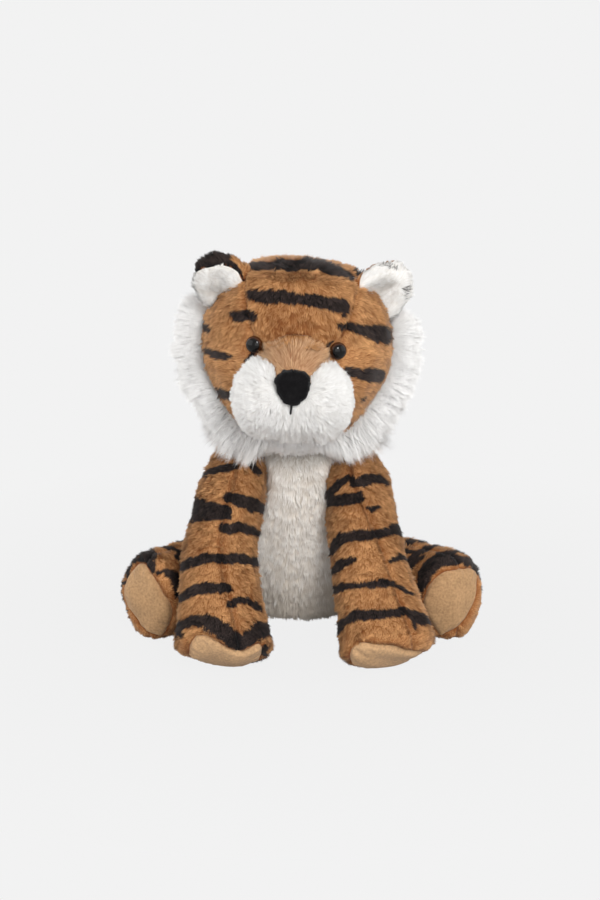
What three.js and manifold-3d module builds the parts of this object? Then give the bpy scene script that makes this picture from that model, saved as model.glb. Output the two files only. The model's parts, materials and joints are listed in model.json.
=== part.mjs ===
// A sitting plush tiger, sewn from pile fabric over fibre filling and pellet bags.
// Millimetres, +Z up. The toy faces -Y and sits on the plane Z = 0, with the middle of the flat
// under its body at the origin. Left and right are as seen from the front: left is -X.

import * as THREE from "three";
import { mergeVertices } from "three/addons/utils/BufferGeometryUtils.js";
import Module from "manifold-3d";

const wasm = await Module();
wasm.setup();

// Cloth, seams and clearances shared by the whole toy
const cloth = 2.2; // thickness of a skin: backing plus the dense root of the pile
const seam = 0.4; // gap between two sewn panels, and between a skin and what it is filled with
const floorCut = 0.5; // depth of the flats that the weight presses into the underside
const overrun = 400; // how far a cutting block runs past what it cuts
const weld = 0.0001; // vertices nearer than this are one vertex
const socketClearance = 2.7; // how far a socket stands off the limb that turns in it

// Torso: a pear that is widest at the hips
const torso = { width: 118, depth: 108, height: 135, seatDome: 12, neckDome: 21, lean: 6 };
const torsoWidth_shares = [0.88, 1, 0.99, 0.92, 0.85, 0.76];
const torsoDepth_shares = [0.88, 1, 0.97, 0.88, 0.79, 0.69];
const belly = { neckWidth: 46, width: 82, seatWidth: 66, backEdge: 14 };
const bellyWidest_share = 0.45;
const pelletFill_share = 0.17; // how much of the torso's height the seat bag takes

// Neck: a round plug of fibre between the torso and the head
const neck = { radius: 21, across: -4, forward: 8, rise: 2, turnGap: 0.5, nodGap: 0.85 };

// Head, measured from its own middle
const head = { width: 129, depth: 114, height: 122, chinDome: 20, crownDome: 17 };
const headWidth_shares = [0.76, 0.94, 1, 0.97, 0.81];
const headDepth_shares = [0.74, 0.92, 1, 0.97, 0.79];
const headPlace = { across: -1, forward: 30, rise: 65 }; // from the top of the torso
const headTilt_deg = 4;
const headYaw_deg = -1.5;
const gusset = { browWidth: 56, crownWidth: 76, napeWidth: 48, browHeight: 9, crownHeight: 46 };

// Snout: two cheek lobes over a chin, with the bridge running up between the eyes
const cheek = { width: 45, depth: 46, height: 51, across: 18, forward: 55, drop: 24 };
const chin = { width: 60, depth: 50, height: 50, forward: 52, drop: 26 };
const bridge = { width: 47, noseWidth: 25, depth: 30, top: 16, bottom: -8, topForward: 40, noseForward: 64 };
const nose = { width: 21.5, height: 22.5, depth: 9, drop: 11, shoulder: 7, chamfer: 2.5 };
const mouth = { thread: 1.6, length: 10 };
const mouthFall_shares = [0, 0.35, 0.7, 1];

// Safety eyes: a dome with a stem that a washer holds behind the skin
const eye = { width: 12, dome: 4.6, stem: 3.6, stemLength: 13, across: 28, height: 10.5 };
const washer = { width: 15, thickness: 2, standOff: 3.6 };

// Ears: cups sewn on at the upper corners of the head, the left one folded further forward
const ear = { width: 43, height: 54, thickness: 16, reach: 15, forward: 2 };
const earAcross_share = 0.333; // of the head's width, from its middle
const earRise_share = 0.275; // of the head's height, from its middle
const earCup = { width: 32, depth: 19, height: 41, forward: 8, reach: 12 };
const earLean_deg = 43;
const earFold_deg = { left: 24, right: 6 };
const earFlop_deg = { forward: 12, back: 8 };
const earLining = 2.6;

// Ruff: a band of long pile round the back of the cheeks and under the chin
const ruff = { thickness: 24, depth: 28, standOff: 6, back: 15, chinForward: 12, chinRise: 10 };
const ruffSize_shares = [0.7, 1, 1, 1, 0.7];
const ruffStart_deg = 12;

// Front legs, named arms, from the shoulder to the paw
const arm = { rootRadius: 20, shoulderInset: 16, shoulderForward: 16, shoulderDrop: 22 };
const armPaw = { width: 63, height: 50, bulge: 9, seamInset: 4.5 };
const armWidth_shares = [0.635, 0.73, 0.74, 0.8, 1];
const armHeight_shares = [0.8, 0.84, 0.85, 0.9, 1];
const armLeft = { across: 49, forward: 138, elbowAcross: 46 };
const armRight = { across: 60, forward: 138, elbowAcross: 41 };
const elbowLift = 14;
const armLift_deg = 40;
const pawPellets_share = 0.26;

// Hind legs, from the hip to the sole
const leg = { rootRadius: 26, hipInset: 16, hipBack: 2, hipHeight: 29 };
const legSole = { width: 48, height: 62, bulge: 8, seamInset: 4 };
const legWidth_shares = [1.08, 1.04, 1, 0.98, 1];
const legHeight_shares = [0.839, 0.88, 0.91, 0.96, 1];
const legLeft = { across: 104, forward: 76, kneeAcross: 76 };
const legRight = { across: 105, forward: 76, kneeAcross: 78 };
const kneeForward_share = 0.46;
const legSpread_deg = 25;
const footPellets_share = 0.22;
const opening_share = 0.7; // how far into the torso a limb's root reaches before it is open

// Tail, lying on the floor behind the body
const tail = { radius: 11.5, tipRadius: 9.5, inset: 7, length: 96, sweep: 46, tipDome: 9 };
const tailBend_share = 0.7; // how far along its length the tail starts to bend aside
const tailSwing_deg = 20;

// How round the facets are
const facets = {
  body: 18, bodyRings: 6, limb: 12, limbRings: 5, small: 10, neck: 16, cap: 3, armSwing: 3, legSwing: 2,
  bodyFilling: 12, filling: 8, fillingRings: 4, room: 8, roomRings: 3, ruffRings: 10,
};

// Colours and finishes
const finishes = {
  fur: { color: 0xb5793f, roughness: 0.95, metalness: 0 },
  whiteFur: { color: 0xf2f0ec, roughness: 0.95, metalness: 0 },
  bellyFur: { color: 0xe0dad0, roughness: 0.95, metalness: 0 },
  bridgeFur: { color: 0xb08260, roughness: 0.95, metalness: 0 },
  suede: { color: 0xc09a6c, roughness: 0.9, metalness: 0 },
  noseFlock: { color: 0x141214, roughness: 0.9, metalness: 0 },
  thread: { color: 0x1a1718, roughness: 0.7, metalness: 0 },
  eyeGloss: { color: 0x1a0f0a, roughness: 0.06, metalness: 0 },
  washerPlastic: { color: 0xe6e6e2, roughness: 0.5, metalness: 0 },
  fibre: { color: 0xf7f7f5, roughness: 1, metalness: 0 },
  pellets: { color: 0xd8d4c8, roughness: 0.7, metalness: 0 },
};

const toy = new THREE.Group();
const unit = { x: new THREE.Vector3(1, 0, 0), y: new THREE.Vector3(0, 1, 0), z: new THREE.Vector3(0, 0, 1) };
const quarterTurn = Math.PI / 2;

function materialOf(finish) {
  return new THREE.MeshStandardMaterial(finishes[finish]);
}

function bare(geometry) {
  geometry.deleteAttribute("normal");
  geometry.deleteAttribute("uv");
  return mergeVertices(geometry, weld);
}

function solidOf(geometry) {
  const closed = bare(geometry.clone());
  const mesh = new wasm.Mesh({
    numProp: 3,
    vertProperties: new Float32Array(closed.attributes.position.array),
    triVerts: new Uint32Array(closed.index.array),
  });
  return new wasm.Manifold(mesh);
}

function geometryOf(solid) {
  const mesh = solid.getMesh();
  const geometry = new THREE.BufferGeometry();
  geometry.setAttribute("position", new THREE.BufferAttribute(new Float32Array(mesh.vertProperties), 3));
  geometry.setIndex(new THREE.BufferAttribute(new Uint32Array(mesh.triVerts), 1));
  geometry.computeVertexNormals();
  return geometry;
}

function addPiece(name, solid, finish) {
  const mesh = new THREE.Mesh(geometryOf(solid), materialOf(finish));
  mesh.name = name;
  toy.add(mesh);
}

function moved(solid, matrix) {
  return solid.transform(matrix.elements);
}

function turnAbout(point, axis, degrees) {
  const turn = new THREE.Matrix4().makeRotationAxis(axis, THREE.MathUtils.degToRad(degrees));
  const there = new THREE.Matrix4().makeTranslation(point.x, point.y, point.z);
  const back = new THREE.Matrix4().makeTranslation(-point.x, -point.y, -point.z);
  return there.multiply(turn).multiply(back);
}

// A smooth run of sizes through a table, read at a share of the way along it
function sizeAlong(table, share) {
  const points = table.map((size, step) => new THREE.Vector2(step, size));
  return new THREE.SplineCurve(points).getPoint(share).y;
}

// A stuffed form: elliptical rings strung along a curve, rounded off by a dome at each end.
// `across` is the direction that the widths lie in; the depths lie square to it.
function stuffedForm({ curve, widths, depths, across, startDome, endDome, around, rings }) {
  const stations = [];
  const station = (share, along, scale) => {
    const tangent = curve.getTangent(share);
    const center = curve.getPoint(share).addScaledVector(tangent, along);
    const halfWidth = (sizeAlong(widths, share) / 2) * scale;
    const halfDepth = (sizeAlong(depths, share) / 2) * scale;
    stations.push({ center, tangent, halfWidth, halfDepth });
  };
  for (let step = 1; step < facets.cap; step += 1) {
    const angle = (step / facets.cap) * quarterTurn;
    station(0, -startDome * Math.cos(angle), Math.sin(angle));
  }
  for (let ring = 0; ring <= rings; ring += 1) station(ring / rings, 0, 1);
  for (let step = facets.cap - 1; step > 0; step -= 1) {
    const angle = (step / facets.cap) * quarterTurn;
    station(1, endDome * Math.cos(angle), Math.sin(angle));
  }
  const positions = [];
  for (const { center, tangent, halfWidth, halfDepth } of stations) {
    const wide = across.clone().addScaledVector(tangent, -across.dot(tangent)).normalize();
    const deep = new THREE.Vector3().crossVectors(tangent, wide);
    for (let side = 0; side < around; side += 1) {
      const angle = (side / around) * 2 * Math.PI;
      const point = center.clone();
      point.addScaledVector(wide, halfWidth * Math.cos(angle));
      point.addScaledVector(deep, halfDepth * Math.sin(angle));
      positions.push(...point.toArray());
    }
  }
  const startPole = curve.getPoint(0).addScaledVector(curve.getTangent(0), -startDome);
  const endPole = curve.getPoint(1).addScaledVector(curve.getTangent(1), endDome);
  positions.push(...startPole.toArray(), ...endPole.toArray());
  const startIndex = stations.length * around;
  const last = (stations.length - 1) * around;
  const faces = [];
  for (let side = 0; side < around; side += 1) {
    const next = (side + 1) % around;
    faces.push(startIndex, next, side);
    faces.push(startIndex + 1, last + side, last + next);
    for (let row = 0; row < stations.length - 1; row += 1) {
      const here = row * around;
      const above = here + around;
      faces.push(here + side, here + next, above + next);
      faces.push(here + side, above + next, above + side);
    }
  }
  const geometry = new THREE.BufferGeometry();
  geometry.setAttribute("position", new THREE.Float32BufferAttribute(positions, 3));
  geometry.setIndex(faces);
  return geometry;
}

// The same form with its surface moved outwards by a distance, or inwards by a negative one
function offsetForm(geometry, distance) {
  const copy = bare(geometry.clone());
  copy.computeVertexNormals();
  const { position, normal } = copy.attributes;
  for (let vertex = 0; vertex < position.count; vertex += 1) {
    position.setXYZ(
      vertex,
      position.getX(vertex) + normal.getX(vertex) * distance,
      position.getY(vertex) + normal.getY(vertex) * distance,
      position.getZ(vertex) + normal.getZ(vertex) * distance,
    );
  }
  return copy;
}

// The solids that every stuffed piece needs: its outside, the room inside its skin, the filling
// that lies in that room, and the outside with a clearance for cutting its neighbours
function stuffedSolids(build, around, rings, aroundInside) {
  const outside = build(around, rings);
  const coarse = build(aroundInside, facets.fillingRings);
  const room = build(facets.room, facets.roomRings);
  return {
    form: outside,
    outer: solidOf(outside),
    room: solidOf(offsetForm(coarse, -cloth)),
    filling: solidOf(offsetForm(coarse, -cloth - seam)),
    grown: solidOf(offsetForm(outside, seam)),
    clear: solidOf(offsetForm(room, socketClearance)),
  };
}

// A ball as a solid, optionally stretched along each axis
function ellipsoid(center, width, depth, height, around = facets.small) {
  const geometry = new THREE.SphereGeometry(1, around, Math.round(around / 2));
  geometry.scale(width / 2, depth / 2, height / 2);
  geometry.translate(center.x, center.y, center.z);
  return solidOf(geometry);
}

// A block that starts at a plane and runs far to the side that its normal points to
function halfSpace(point, normal) {
  const size = overrun * 2;
  const block = new THREE.BoxGeometry(size, size, size);
  block.translate(0, 0, overrun);
  block.applyQuaternion(new THREE.Quaternion().setFromUnitVectors(unit.z, normal.clone().normalize()));
  block.translate(point.x, point.y, point.z);
  return solidOf(block);
}

// The two parts of a solid on either side of a plane, a seam's width apart
function splitAt(solid, point, normal) {
  const unitNormal = normal.clone().normalize();
  const ahead = halfSpace(point.clone().addScaledVector(unitNormal, seam / 2), unitNormal);
  const behind = halfSpace(point.clone().addScaledVector(unitNormal, -seam / 2), unitNormal.clone().negate());
  return [solid.intersect(ahead), solid.intersect(behind)];
}

const floor = halfSpace(new THREE.Vector3(), unit.z.clone().negate());
const floorSeam = halfSpace(new THREE.Vector3(0, 0, cloth + seam - floorCut), unit.z.clone().negate());

// Where a straight line from a point first meets a form, and the way the form faces there
function seatOn(geometry, from, toward) {
  const surface = new THREE.Mesh(geometry, new THREE.MeshBasicMaterial({ side: THREE.DoubleSide }));
  const direction = toward.clone().sub(from).normalize();
  const [hit] = new THREE.Raycaster(from, direction).intersectObject(surface);
  return { point: hit.point, normal: hit.face.normal.clone() };
}

// Torso

const hipLift = torso.seatDome - floorCut;
const torsoSpine = new THREE.QuadraticBezierCurve3(
  new THREE.Vector3(0, 0, hipLift),
  new THREE.Vector3(0, 0, torso.height / 2),
  new THREE.Vector3(0, -torso.lean, torso.height - torso.neckDome),
);
const torsoSolids = stuffedSolids(
  (around, rings) => stuffedForm({
    curve: torsoSpine,
    widths: torsoWidth_shares.map((share) => share * torso.width),
    depths: torsoDepth_shares.map((share) => share * torso.depth),
    across: unit.x,
    startDome: torso.seatDome,
    endDome: torso.neckDome,
    around,
    rings,
  }),
  facets.body,
  facets.bodyRings,
  facets.bodyFilling,
);

// Neck

const neckPoint = new THREE.Vector3(neck.across, -neck.forward, torso.height + neck.rise);

// A ball with its poles above and below, so that a turn about Z keeps its rings
function ball(center, radius, around) {
  const geometry = new THREE.SphereGeometry(radius, around, Math.round(around / 2));
  geometry.rotateX(quarterTurn);
  geometry.translate(center.x, center.y, center.z);
  return solidOf(geometry);
}

addPiece("neck_plug", ball(neckPoint, neck.radius, facets.neck), "fibre");

// A limb's room in the torso: the limb with its clearance, at steps through its swing
function limbRoom({ solids, root }, axis, degrees, steps) {
  let room = solids.clear;
  for (let step = 1; step <= steps; step += 1) {
    room = room.add(moved(solids.clear, turnAbout(root, axis, (degrees * step) / steps)));
  }
  return room;
}

// Front legs

const hands = [["left", -1], ["right", 1]];
const shoulderAcross = torso.width / 2 - arm.shoulderInset;
const shoulderHeight = torso.height - arm.shoulderDrop;
const arms = {};
for (const [side, sign] of hands) {
  const reach = { left: armLeft, right: armRight }[side];
  const shoulder = new THREE.Vector3(sign * shoulderAcross, -arm.shoulderForward, shoulderHeight);
  const curveTo = (pawHeight) => {
    const paw = new THREE.Vector3(sign * reach.across, -reach.forward, pawHeight);
    const elbow = shoulder.clone().add(paw).divideScalar(2);
    elbow.x = sign * reach.elbowAcross;
    elbow.z += elbowLift;
    return new THREE.QuadraticBezierCurve3(shoulder, elbow, paw);
  };
  const build = (pawHeight) => (around, rings) => stuffedForm({
    curve: curveTo(pawHeight),
    widths: armWidth_shares.map((share) => share * armPaw.width),
    depths: armHeight_shares.map((share) => share * armPaw.height),
    across: unit.x,
    startDome: arm.rootRadius,
    endDome: armPaw.bulge,
    around,
    rings,
  });
  // The paw is let down until the form dips below the floor by the depth of its flat
  let pawHeight = armPaw.height / 2;
  for (let pass = 0; pass < facets.cap; pass += 1) {
    const trial = build(pawHeight)(facets.limb, facets.limbRings);
    trial.computeBoundingBox();
    pawHeight -= trial.boundingBox.min.z + floorCut;
  }
  const curve = curveTo(pawHeight);
  const solids = stuffedSolids(build(pawHeight), facets.limb, facets.limbRings, facets.filling);
  arms[side] = { root: shoulder, curve, solids };
}

// Hind legs

const hipAcross = torso.width / 2 - leg.hipInset;
const legs = {};
for (const [side, sign] of hands) {
  const reach = { left: legLeft, right: legRight }[side];
  const hip = new THREE.Vector3(sign * hipAcross, leg.hipBack, leg.hipHeight - floorCut);
  const middle = legSole.height / 2 - floorCut;
  const sole = new THREE.Vector3(sign * reach.across, -reach.forward, middle);
  const knee = new THREE.Vector3(sign * reach.kneeAcross, -reach.forward * kneeForward_share, middle);
  const curve = new THREE.QuadraticBezierCurve3(hip, knee, sole);
  const build = (around, rings) => stuffedForm({
    curve,
    widths: legHeight_shares.map((share) => share * legSole.height),
    depths: legWidth_shares.map((share) => share * legSole.width),
    across: unit.z,
    startDome: leg.rootRadius,
    endDome: legSole.bulge,
    around,
    rings,
  });
  legs[side] = { root: hip, curve, solids: stuffedSolids(build, facets.limb, facets.limbRings, facets.filling) };
}

// Tail

const tailStart = torso.depth / 2 - tail.inset;
const tailRoot = new THREE.Vector3(0, tailStart, tail.radius - floorCut);
const tailEnd = new THREE.Vector3(tail.sweep, tailStart + tail.length, tail.tipRadius - floorCut);
const tailBend = new THREE.Vector3(0, tailStart + tail.length * tailBend_share, tail.radius - floorCut);
const tailCurve = new THREE.QuadraticBezierCurve3(tailRoot, tailBend, tailEnd);
const tailSizes = [tail.radius * 2, tail.radius * 2, tail.tipRadius * 2];
const tailSolids = stuffedSolids(
  (around, rings) => stuffedForm({
    curve: tailCurve,
    widths: tailSizes,
    depths: tailSizes,
    across: unit.z,
    startDome: tail.radius,
    endDome: tail.tipDome,
    around,
    rings,
  }),
  facets.small,
  facets.limbRings,
  facets.filling,
);

// The torso's skin and filling make room for the neck, the limbs and the tail

let torsoCut = ball(neckPoint, neck.radius + neck.turnGap, facets.neck).add(floor);
for (const [side, sign] of hands) {
  torsoCut = torsoCut.add(limbRoom(arms[side], unit.x, -armLift_deg, facets.armSwing));
  torsoCut = torsoCut.add(limbRoom(legs[side], unit.z, sign * legSpread_deg, facets.legSwing));
}
torsoCut = torsoCut.add(ball(tailRoot, tail.radius + seam * 2, facets.limb));
for (const degrees of [-tailSwing_deg, 0, tailSwing_deg]) {
  torsoCut = torsoCut.add(moved(tailSolids.grown, turnAbout(tailRoot, unit.z, degrees)));
}

const torsoShell = torsoSolids.outer.subtract(torsoSolids.room).subtract(torsoCut);

// The cream panel covers the front, from the neck down to the seat
const bellyOutline = new THREE.Shape();
bellyOutline.moveTo(-belly.neckWidth / 2, torso.height + overrun);
bellyOutline.lineTo(-belly.neckWidth / 2, torso.height - torso.neckDome);
bellyOutline.quadraticCurveTo(-belly.width / 2, torso.height * bellyWidest_share, -belly.seatWidth / 2, 0);
bellyOutline.lineTo(-belly.seatWidth / 2, -overrun);
bellyOutline.lineTo(belly.seatWidth / 2, -overrun);
bellyOutline.lineTo(belly.seatWidth / 2, 0);
bellyOutline.quadraticCurveTo(
  belly.width / 2, torso.height * bellyWidest_share, belly.neckWidth / 2, torso.height - torso.neckDome,
);
bellyOutline.lineTo(belly.neckWidth / 2, torso.height + overrun);
bellyOutline.closePath();

function frontBlock(outline, backEdge, curveSegments) {
  const depth = torso.depth;
  const block = new THREE.ExtrudeGeometry(outline, { depth, bevelEnabled: false, curveSegments });
  block.rotateX(quarterTurn);
  block.translate(0, backEdge, 0);
  return block;
}

const bellyBlock = frontBlock(bellyOutline, -belly.backEdge, facets.cap * 2);
const bellyCutter = solidOf(bellyBlock);
const bellyClear = solidOf(offsetForm(bellyBlock, seam));
const middlePoint = new THREE.Vector3();
const [bellyRight, bellyLeft] = splitAt(torsoShell.intersect(bellyCutter), middlePoint, unit.x);
const [backRight, backLeft] = splitAt(torsoShell.subtract(bellyClear), middlePoint, unit.x);
addPiece("belly_panel_left", bellyLeft, "bellyFur");
addPiece("belly_panel_right", bellyRight, "bellyFur");
addPiece("back_panel_left", backLeft, "fur");
addPiece("back_panel_right", backRight, "fur");

const bagTop = new THREE.Vector3(0, 0, torso.height * pelletFill_share);
const [torsoFibre, seatBag] = splitAt(torsoSolids.filling.subtract(torsoCut), bagTop, unit.z);
addPiece("torso_filling", torsoFibre, "fibre");
addPiece("seat_pellet_bag", seatBag, "pellets");

// Sews up one limb: two panels that meet in a seam along it, a suede pad over its end,
// a bag of pellets behind the pad and fibre above that
function addLimb(name, { solids, curve, root }, sizes, seamAcross, panels, pellets_share) {
  const end = curve.getPoint(1);
  const along = curve.getTangent(1);
  const shell = solids.outer.subtract(solids.room).subtract(floor);
  const padPlane = end.clone().addScaledVector(along, sizes.bulge - sizes.seamInset);
  const [pad, tube] = splitAt(shell, padPlane, along);
  // The root is open where it is sewn round the hole in the torso's side
  const inward = new THREE.Vector3(-root.x, -root.y, 0).normalize();
  const openTube = tube.subtract(halfSpace(root.clone().addScaledVector(inward, sizes.opening), inward));
  const [first, second] = splitAt(openTube, root.clone().add(end).divideScalar(2), seamAcross);
  addPiece(`${name}_${panels[0]}_panel`, first, "fur");
  addPiece(`${name}_${panels[1]}_panel`, second, "fur");
  addPiece(`${name}_pad`, pad, "suede");
  const bagPlane = curve.getPoint(1 - pellets_share);
  const filling = solids.filling.subtract(floorSeam);
  const [bag, fibre] = splitAt(filling, bagPlane, curve.getTangent(1 - pellets_share));
  addPiece(`${name}_filling`, fibre, "fibre");
  addPiece(`${name}_pellet_bag`, bag, "pellets");
}

for (const [side, sign] of hands) {
  const outward = unit.x.clone().multiplyScalar(sign);
  const sizes = { ...armPaw, opening: arm.rootRadius * opening_share };
  addLimb(`arm_${side}`, arms[side], sizes, outward, ["outer", "inner"], pawPellets_share);
}

for (const [side, sign] of hands) {
  const { curve } = legs[side];
  const along = curve.getPoint(1).sub(curve.getPoint(0));
  const outward = new THREE.Vector3(sign * Math.abs(along.y), Math.abs(along.x), 0);
  const sizes = { ...legSole, opening: leg.rootRadius * opening_share };
  addLimb(`leg_${side}`, legs[side], sizes, outward, ["outer", "inner"], footPellets_share);
}

const tailShell = tailSolids.outer.subtract(tailSolids.room).subtract(floor);
const tailMouth = halfSpace(tailRoot.clone().addScaledVector(unit.y, -tail.radius / 2), unit.y);
addPiece("tail_skin", tailShell.intersect(tailMouth), "fur");
addPiece("tail_filling", tailSolids.filling.subtract(floorSeam), "fibre");

// Head, built about its own middle and then tilted into place

const headHeight = torso.height + headPlace.rise;
const headMiddle = new THREE.Vector3(headPlace.across, -headPlace.forward, headHeight);
const headTurn = new THREE.Euler(
  0, THREE.MathUtils.degToRad(headTilt_deg), THREE.MathUtils.degToRad(headYaw_deg), "YZX",
);
const headFrame = new THREE.Matrix4().makeRotationFromEuler(headTurn).setPosition(headMiddle);
const neckInHead = moved(
  ball(neckPoint, neck.radius + neck.nodGap, facets.neck), headFrame.clone().invert(),
);

const headSpine = new THREE.LineCurve3(
  new THREE.Vector3(0, 0, -head.height / 2 + head.chinDome),
  new THREE.Vector3(0, 0, head.height / 2 - head.crownDome),
);
const headSolids = stuffedSolids(
  (around, rings) => stuffedForm({
    curve: headSpine,
    widths: headWidth_shares.map((share) => share * head.width),
    depths: headDepth_shares.map((share) => share * head.depth),
    across: unit.x,
    startDome: head.chinDome,
    endDome: head.crownDome,
    around,
    rings,
  }),
  facets.body,
  facets.bodyRings,
  facets.bodyFilling,
);

function addHeadPiece(name, solid, finish) {
  addPiece(name, moved(solid, headFrame), finish);
}

// The snout's outside and inside are unions of the same forms at two sizes
function snoutSolid(inset, around = facets.filling) {
  const lobe = (sign) => ellipsoid(
    new THREE.Vector3(sign * cheek.across, -cheek.forward, -cheek.drop),
    cheek.width - inset * 2, cheek.depth - inset * 2, cheek.height - inset * 2, around,
  );
  const jaw = ellipsoid(
    new THREE.Vector3(0, -chin.forward, -chin.drop),
    chin.width - inset * 2, chin.depth - inset * 2, chin.height - inset * 2, around,
  );
  return lobe(-1).add(lobe(1)).add(jaw);
}

function bridgeSolid(inset, around = facets.filling) {
  const curve = new THREE.LineCurve3(
    new THREE.Vector3(0, -bridge.topForward, bridge.top),
    new THREE.Vector3(0, -bridge.noseForward, bridge.bottom),
  );
  const form = stuffedForm({
    curve,
    widths: [bridge.width, bridge.noseWidth],
    depths: [bridge.depth, bridge.depth],
    across: unit.x,
    startDome: bridge.depth / 2,
    endDome: bridge.depth / 2,
    around,
    rings: facets.cap,
  });
  return solidOf(offsetForm(form, -inset));
}

const snoutOuter = snoutSolid(0, facets.limb).subtract(bridgeSolid(-seam, facets.small));
const snoutRoom = snoutSolid(cloth).add(bridgeSolid(cloth));
const headClear = headSolids.grown;
const muzzleSkin = snoutOuter.subtract(snoutRoom).subtract(headClear);
const bridgeSkin = bridgeSolid(0, facets.small).subtract(snoutRoom).subtract(headClear);

// The skin is cut away under the snout, so that the filling runs through into it
const snoutOpening = snoutSolid(cloth / 2).add(bridgeSolid(cloth / 2));
const headShell = headSolids.outer.subtract(headSolids.room).subtract(snoutOpening).subtract(neckInHead);
const gussetOutline = new THREE.Shape([
  new THREE.Vector2(-gusset.napeWidth / 2, -head.height),
  new THREE.Vector2(gusset.napeWidth / 2, -head.height),
  new THREE.Vector2(gusset.browWidth / 2, gusset.browHeight),
  new THREE.Vector2(gusset.crownWidth / 2, gusset.crownHeight),
  new THREE.Vector2(gusset.crownWidth / 2, head.height),
  new THREE.Vector2(-gusset.crownWidth / 2, head.height),
  new THREE.Vector2(-gusset.crownWidth / 2, gusset.crownHeight),
  new THREE.Vector2(-gusset.browWidth / 2, gusset.browHeight),
]);
const gussetBlock = new THREE.ExtrudeGeometry(gussetOutline, { depth: head.depth * 2, bevelEnabled: false });
gussetBlock.rotateX(quarterTurn);
gussetBlock.translate(0, head.depth, 0);
const gussetCutter = solidOf(gussetBlock);
const gussetClear = solidOf(offsetForm(gussetBlock, seam));

// Eyes: each sits on the skin, its stem goes through, and the washer grips the skin from inside

function eyeProfile(clearance) {
  const stem = eye.stem / 2 + clearance;
  const rim = eye.width / 2;
  const points = [new THREE.Vector2(0, -eye.stemLength), new THREE.Vector2(stem, -eye.stemLength)];
  points.push(new THREE.Vector2(stem, 0), new THREE.Vector2(rim, 0));
  for (let step = 1; step < facets.cap * 2; step += 1) {
    const angle = (step / (facets.cap * 2)) * quarterTurn;
    points.push(new THREE.Vector2(rim * Math.cos(angle), eye.dome * Math.sin(angle)));
  }
  points.push(new THREE.Vector2(0, eye.dome));
  return points;
}

function washerProfile(bore, width, thickness) {
  const corners = [[bore / 2, 0], [width / 2, 0], [width / 2, thickness], [bore / 2, thickness], [bore / 2, 0]];
  return corners.map(([x, y]) => new THREE.Vector2(x, y));
}

function turned(points, place, aim) {
  const lathe = new THREE.LatheGeometry(points, facets.small);
  lathe.applyQuaternion(new THREE.Quaternion().setFromUnitVectors(unit.y, aim));
  lathe.translate(place.x, place.y, place.z);
  return solidOf(lathe);
}

let eyeRoom = null;
let washerRoom = null;
for (const [side, sign] of hands) {
  const from = new THREE.Vector3(sign * eye.across, -head.depth * 2, eye.height);
  const seat = seatOn(headSolids.form, from, from.clone().setY(0));
  const aim = seat.normal.clone().setZ(0).normalize();
  const place = seat.point.clone().addScaledVector(aim, seam);
  const grip = seat.point.clone().addScaledVector(aim, -cloth - washer.standOff - washer.thickness);
  addHeadPiece(`eye_${side}`, turned(eyeProfile(0), place, aim), "eyeGloss");
  const bore = eye.stem + seam * 2;
  const ring = washerProfile(bore, washer.width, washer.thickness);
  addHeadPiece(`eye_washer_${side}`, turned(ring, grip, aim), "washerPlastic");
  const stemRoom = [[0, 0], [bore / 2, 0], [bore / 2, eye.stemLength + seam], [0, eye.stemLength + seam]];
  const stemPoints = stemRoom.map(([x, y]) => new THREE.Vector2(x, y));
  const stemFoot = place.clone().addScaledVector(aim, -eye.stemLength - seam);
  const washerRoomHeight = washer.thickness + washer.standOff + cloth;
  const washerOutline = [[0, 0], [washer.width / 2 + seam, 0]];
  washerOutline.push([washer.width / 2 + seam, washerRoomHeight], [0, washerRoomHeight]);
  const washerPoints = washerOutline.map(([x, y]) => new THREE.Vector2(x, y));
  const washerFoot = grip.clone().addScaledVector(aim, -seam);
  const stemHole = turned(stemPoints, stemFoot, aim);
  const gripHole = turned(washerPoints, washerFoot, aim);
  eyeRoom = eyeRoom ? eyeRoom.add(stemHole) : stemHole;
  washerRoom = washerRoom ? washerRoom.add(gripHole) : gripHole;
}

const headSkin = headShell.subtract(eyeRoom);
const gussetSkin = headSkin.intersect(gussetCutter);
const [sideRight, sideLeft] = splitAt(headSkin.subtract(gussetClear), middlePoint, unit.x);
addHeadPiece("head_gusset", gussetSkin, "fur");
addHeadPiece("head_side_left", sideLeft, "fur");
addHeadPiece("head_side_right", sideRight, "fur");
addHeadPiece("muzzle", muzzleSkin, "whiteFur");
addHeadPiece("nose_bridge", bridgeSkin, "bridgeFur");

const snoutFibre = snoutSolid(cloth + seam).add(bridgeSolid(cloth + seam));
const headFibre = headSolids.filling.add(snoutFibre).subtract(neckInHead);
addHeadPiece("head_filling", headFibre.subtract(eyeRoom).subtract(washerRoom), "fibre");

// Nose: a rounded shield of flock, cut to sit on the bridge and the muzzle

const snoutOutside = snoutSolid(0, facets.limb).add(bridgeSolid(0, facets.small));
const snoutSurface = geometryOf(snoutOutside);
const snoutGrown = snoutSolid(-seam, facets.limb).add(bridgeSolid(-seam, facets.small));
const noseOutline = new THREE.Shape();
const noseTop = nose.height / 2 - nose.chamfer;
const noseHalf = nose.width / 2 - nose.chamfer;
noseOutline.moveTo(0, noseTop);
noseOutline.bezierCurveTo(nose.shoulder, noseTop, noseHalf, nose.shoulder, noseHalf, nose.chamfer);
noseOutline.bezierCurveTo(noseHalf, -nose.shoulder / 2, nose.shoulder / 2, -noseTop, 0, -noseTop);
noseOutline.bezierCurveTo(-nose.shoulder / 2, -noseTop, -noseHalf, -nose.shoulder / 2, -noseHalf, nose.chamfer);
noseOutline.bezierCurveTo(-noseHalf, nose.shoulder, -nose.shoulder, noseTop, 0, noseTop);
const noseBlock = new THREE.ExtrudeGeometry(noseOutline, {
  depth: nose.depth,
  bevelThickness: nose.chamfer,
  bevelSize: nose.chamfer,
  bevelSegments: facets.cap,
  curveSegments: facets.cap,
});
noseBlock.rotateX(quarterTurn);
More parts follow.
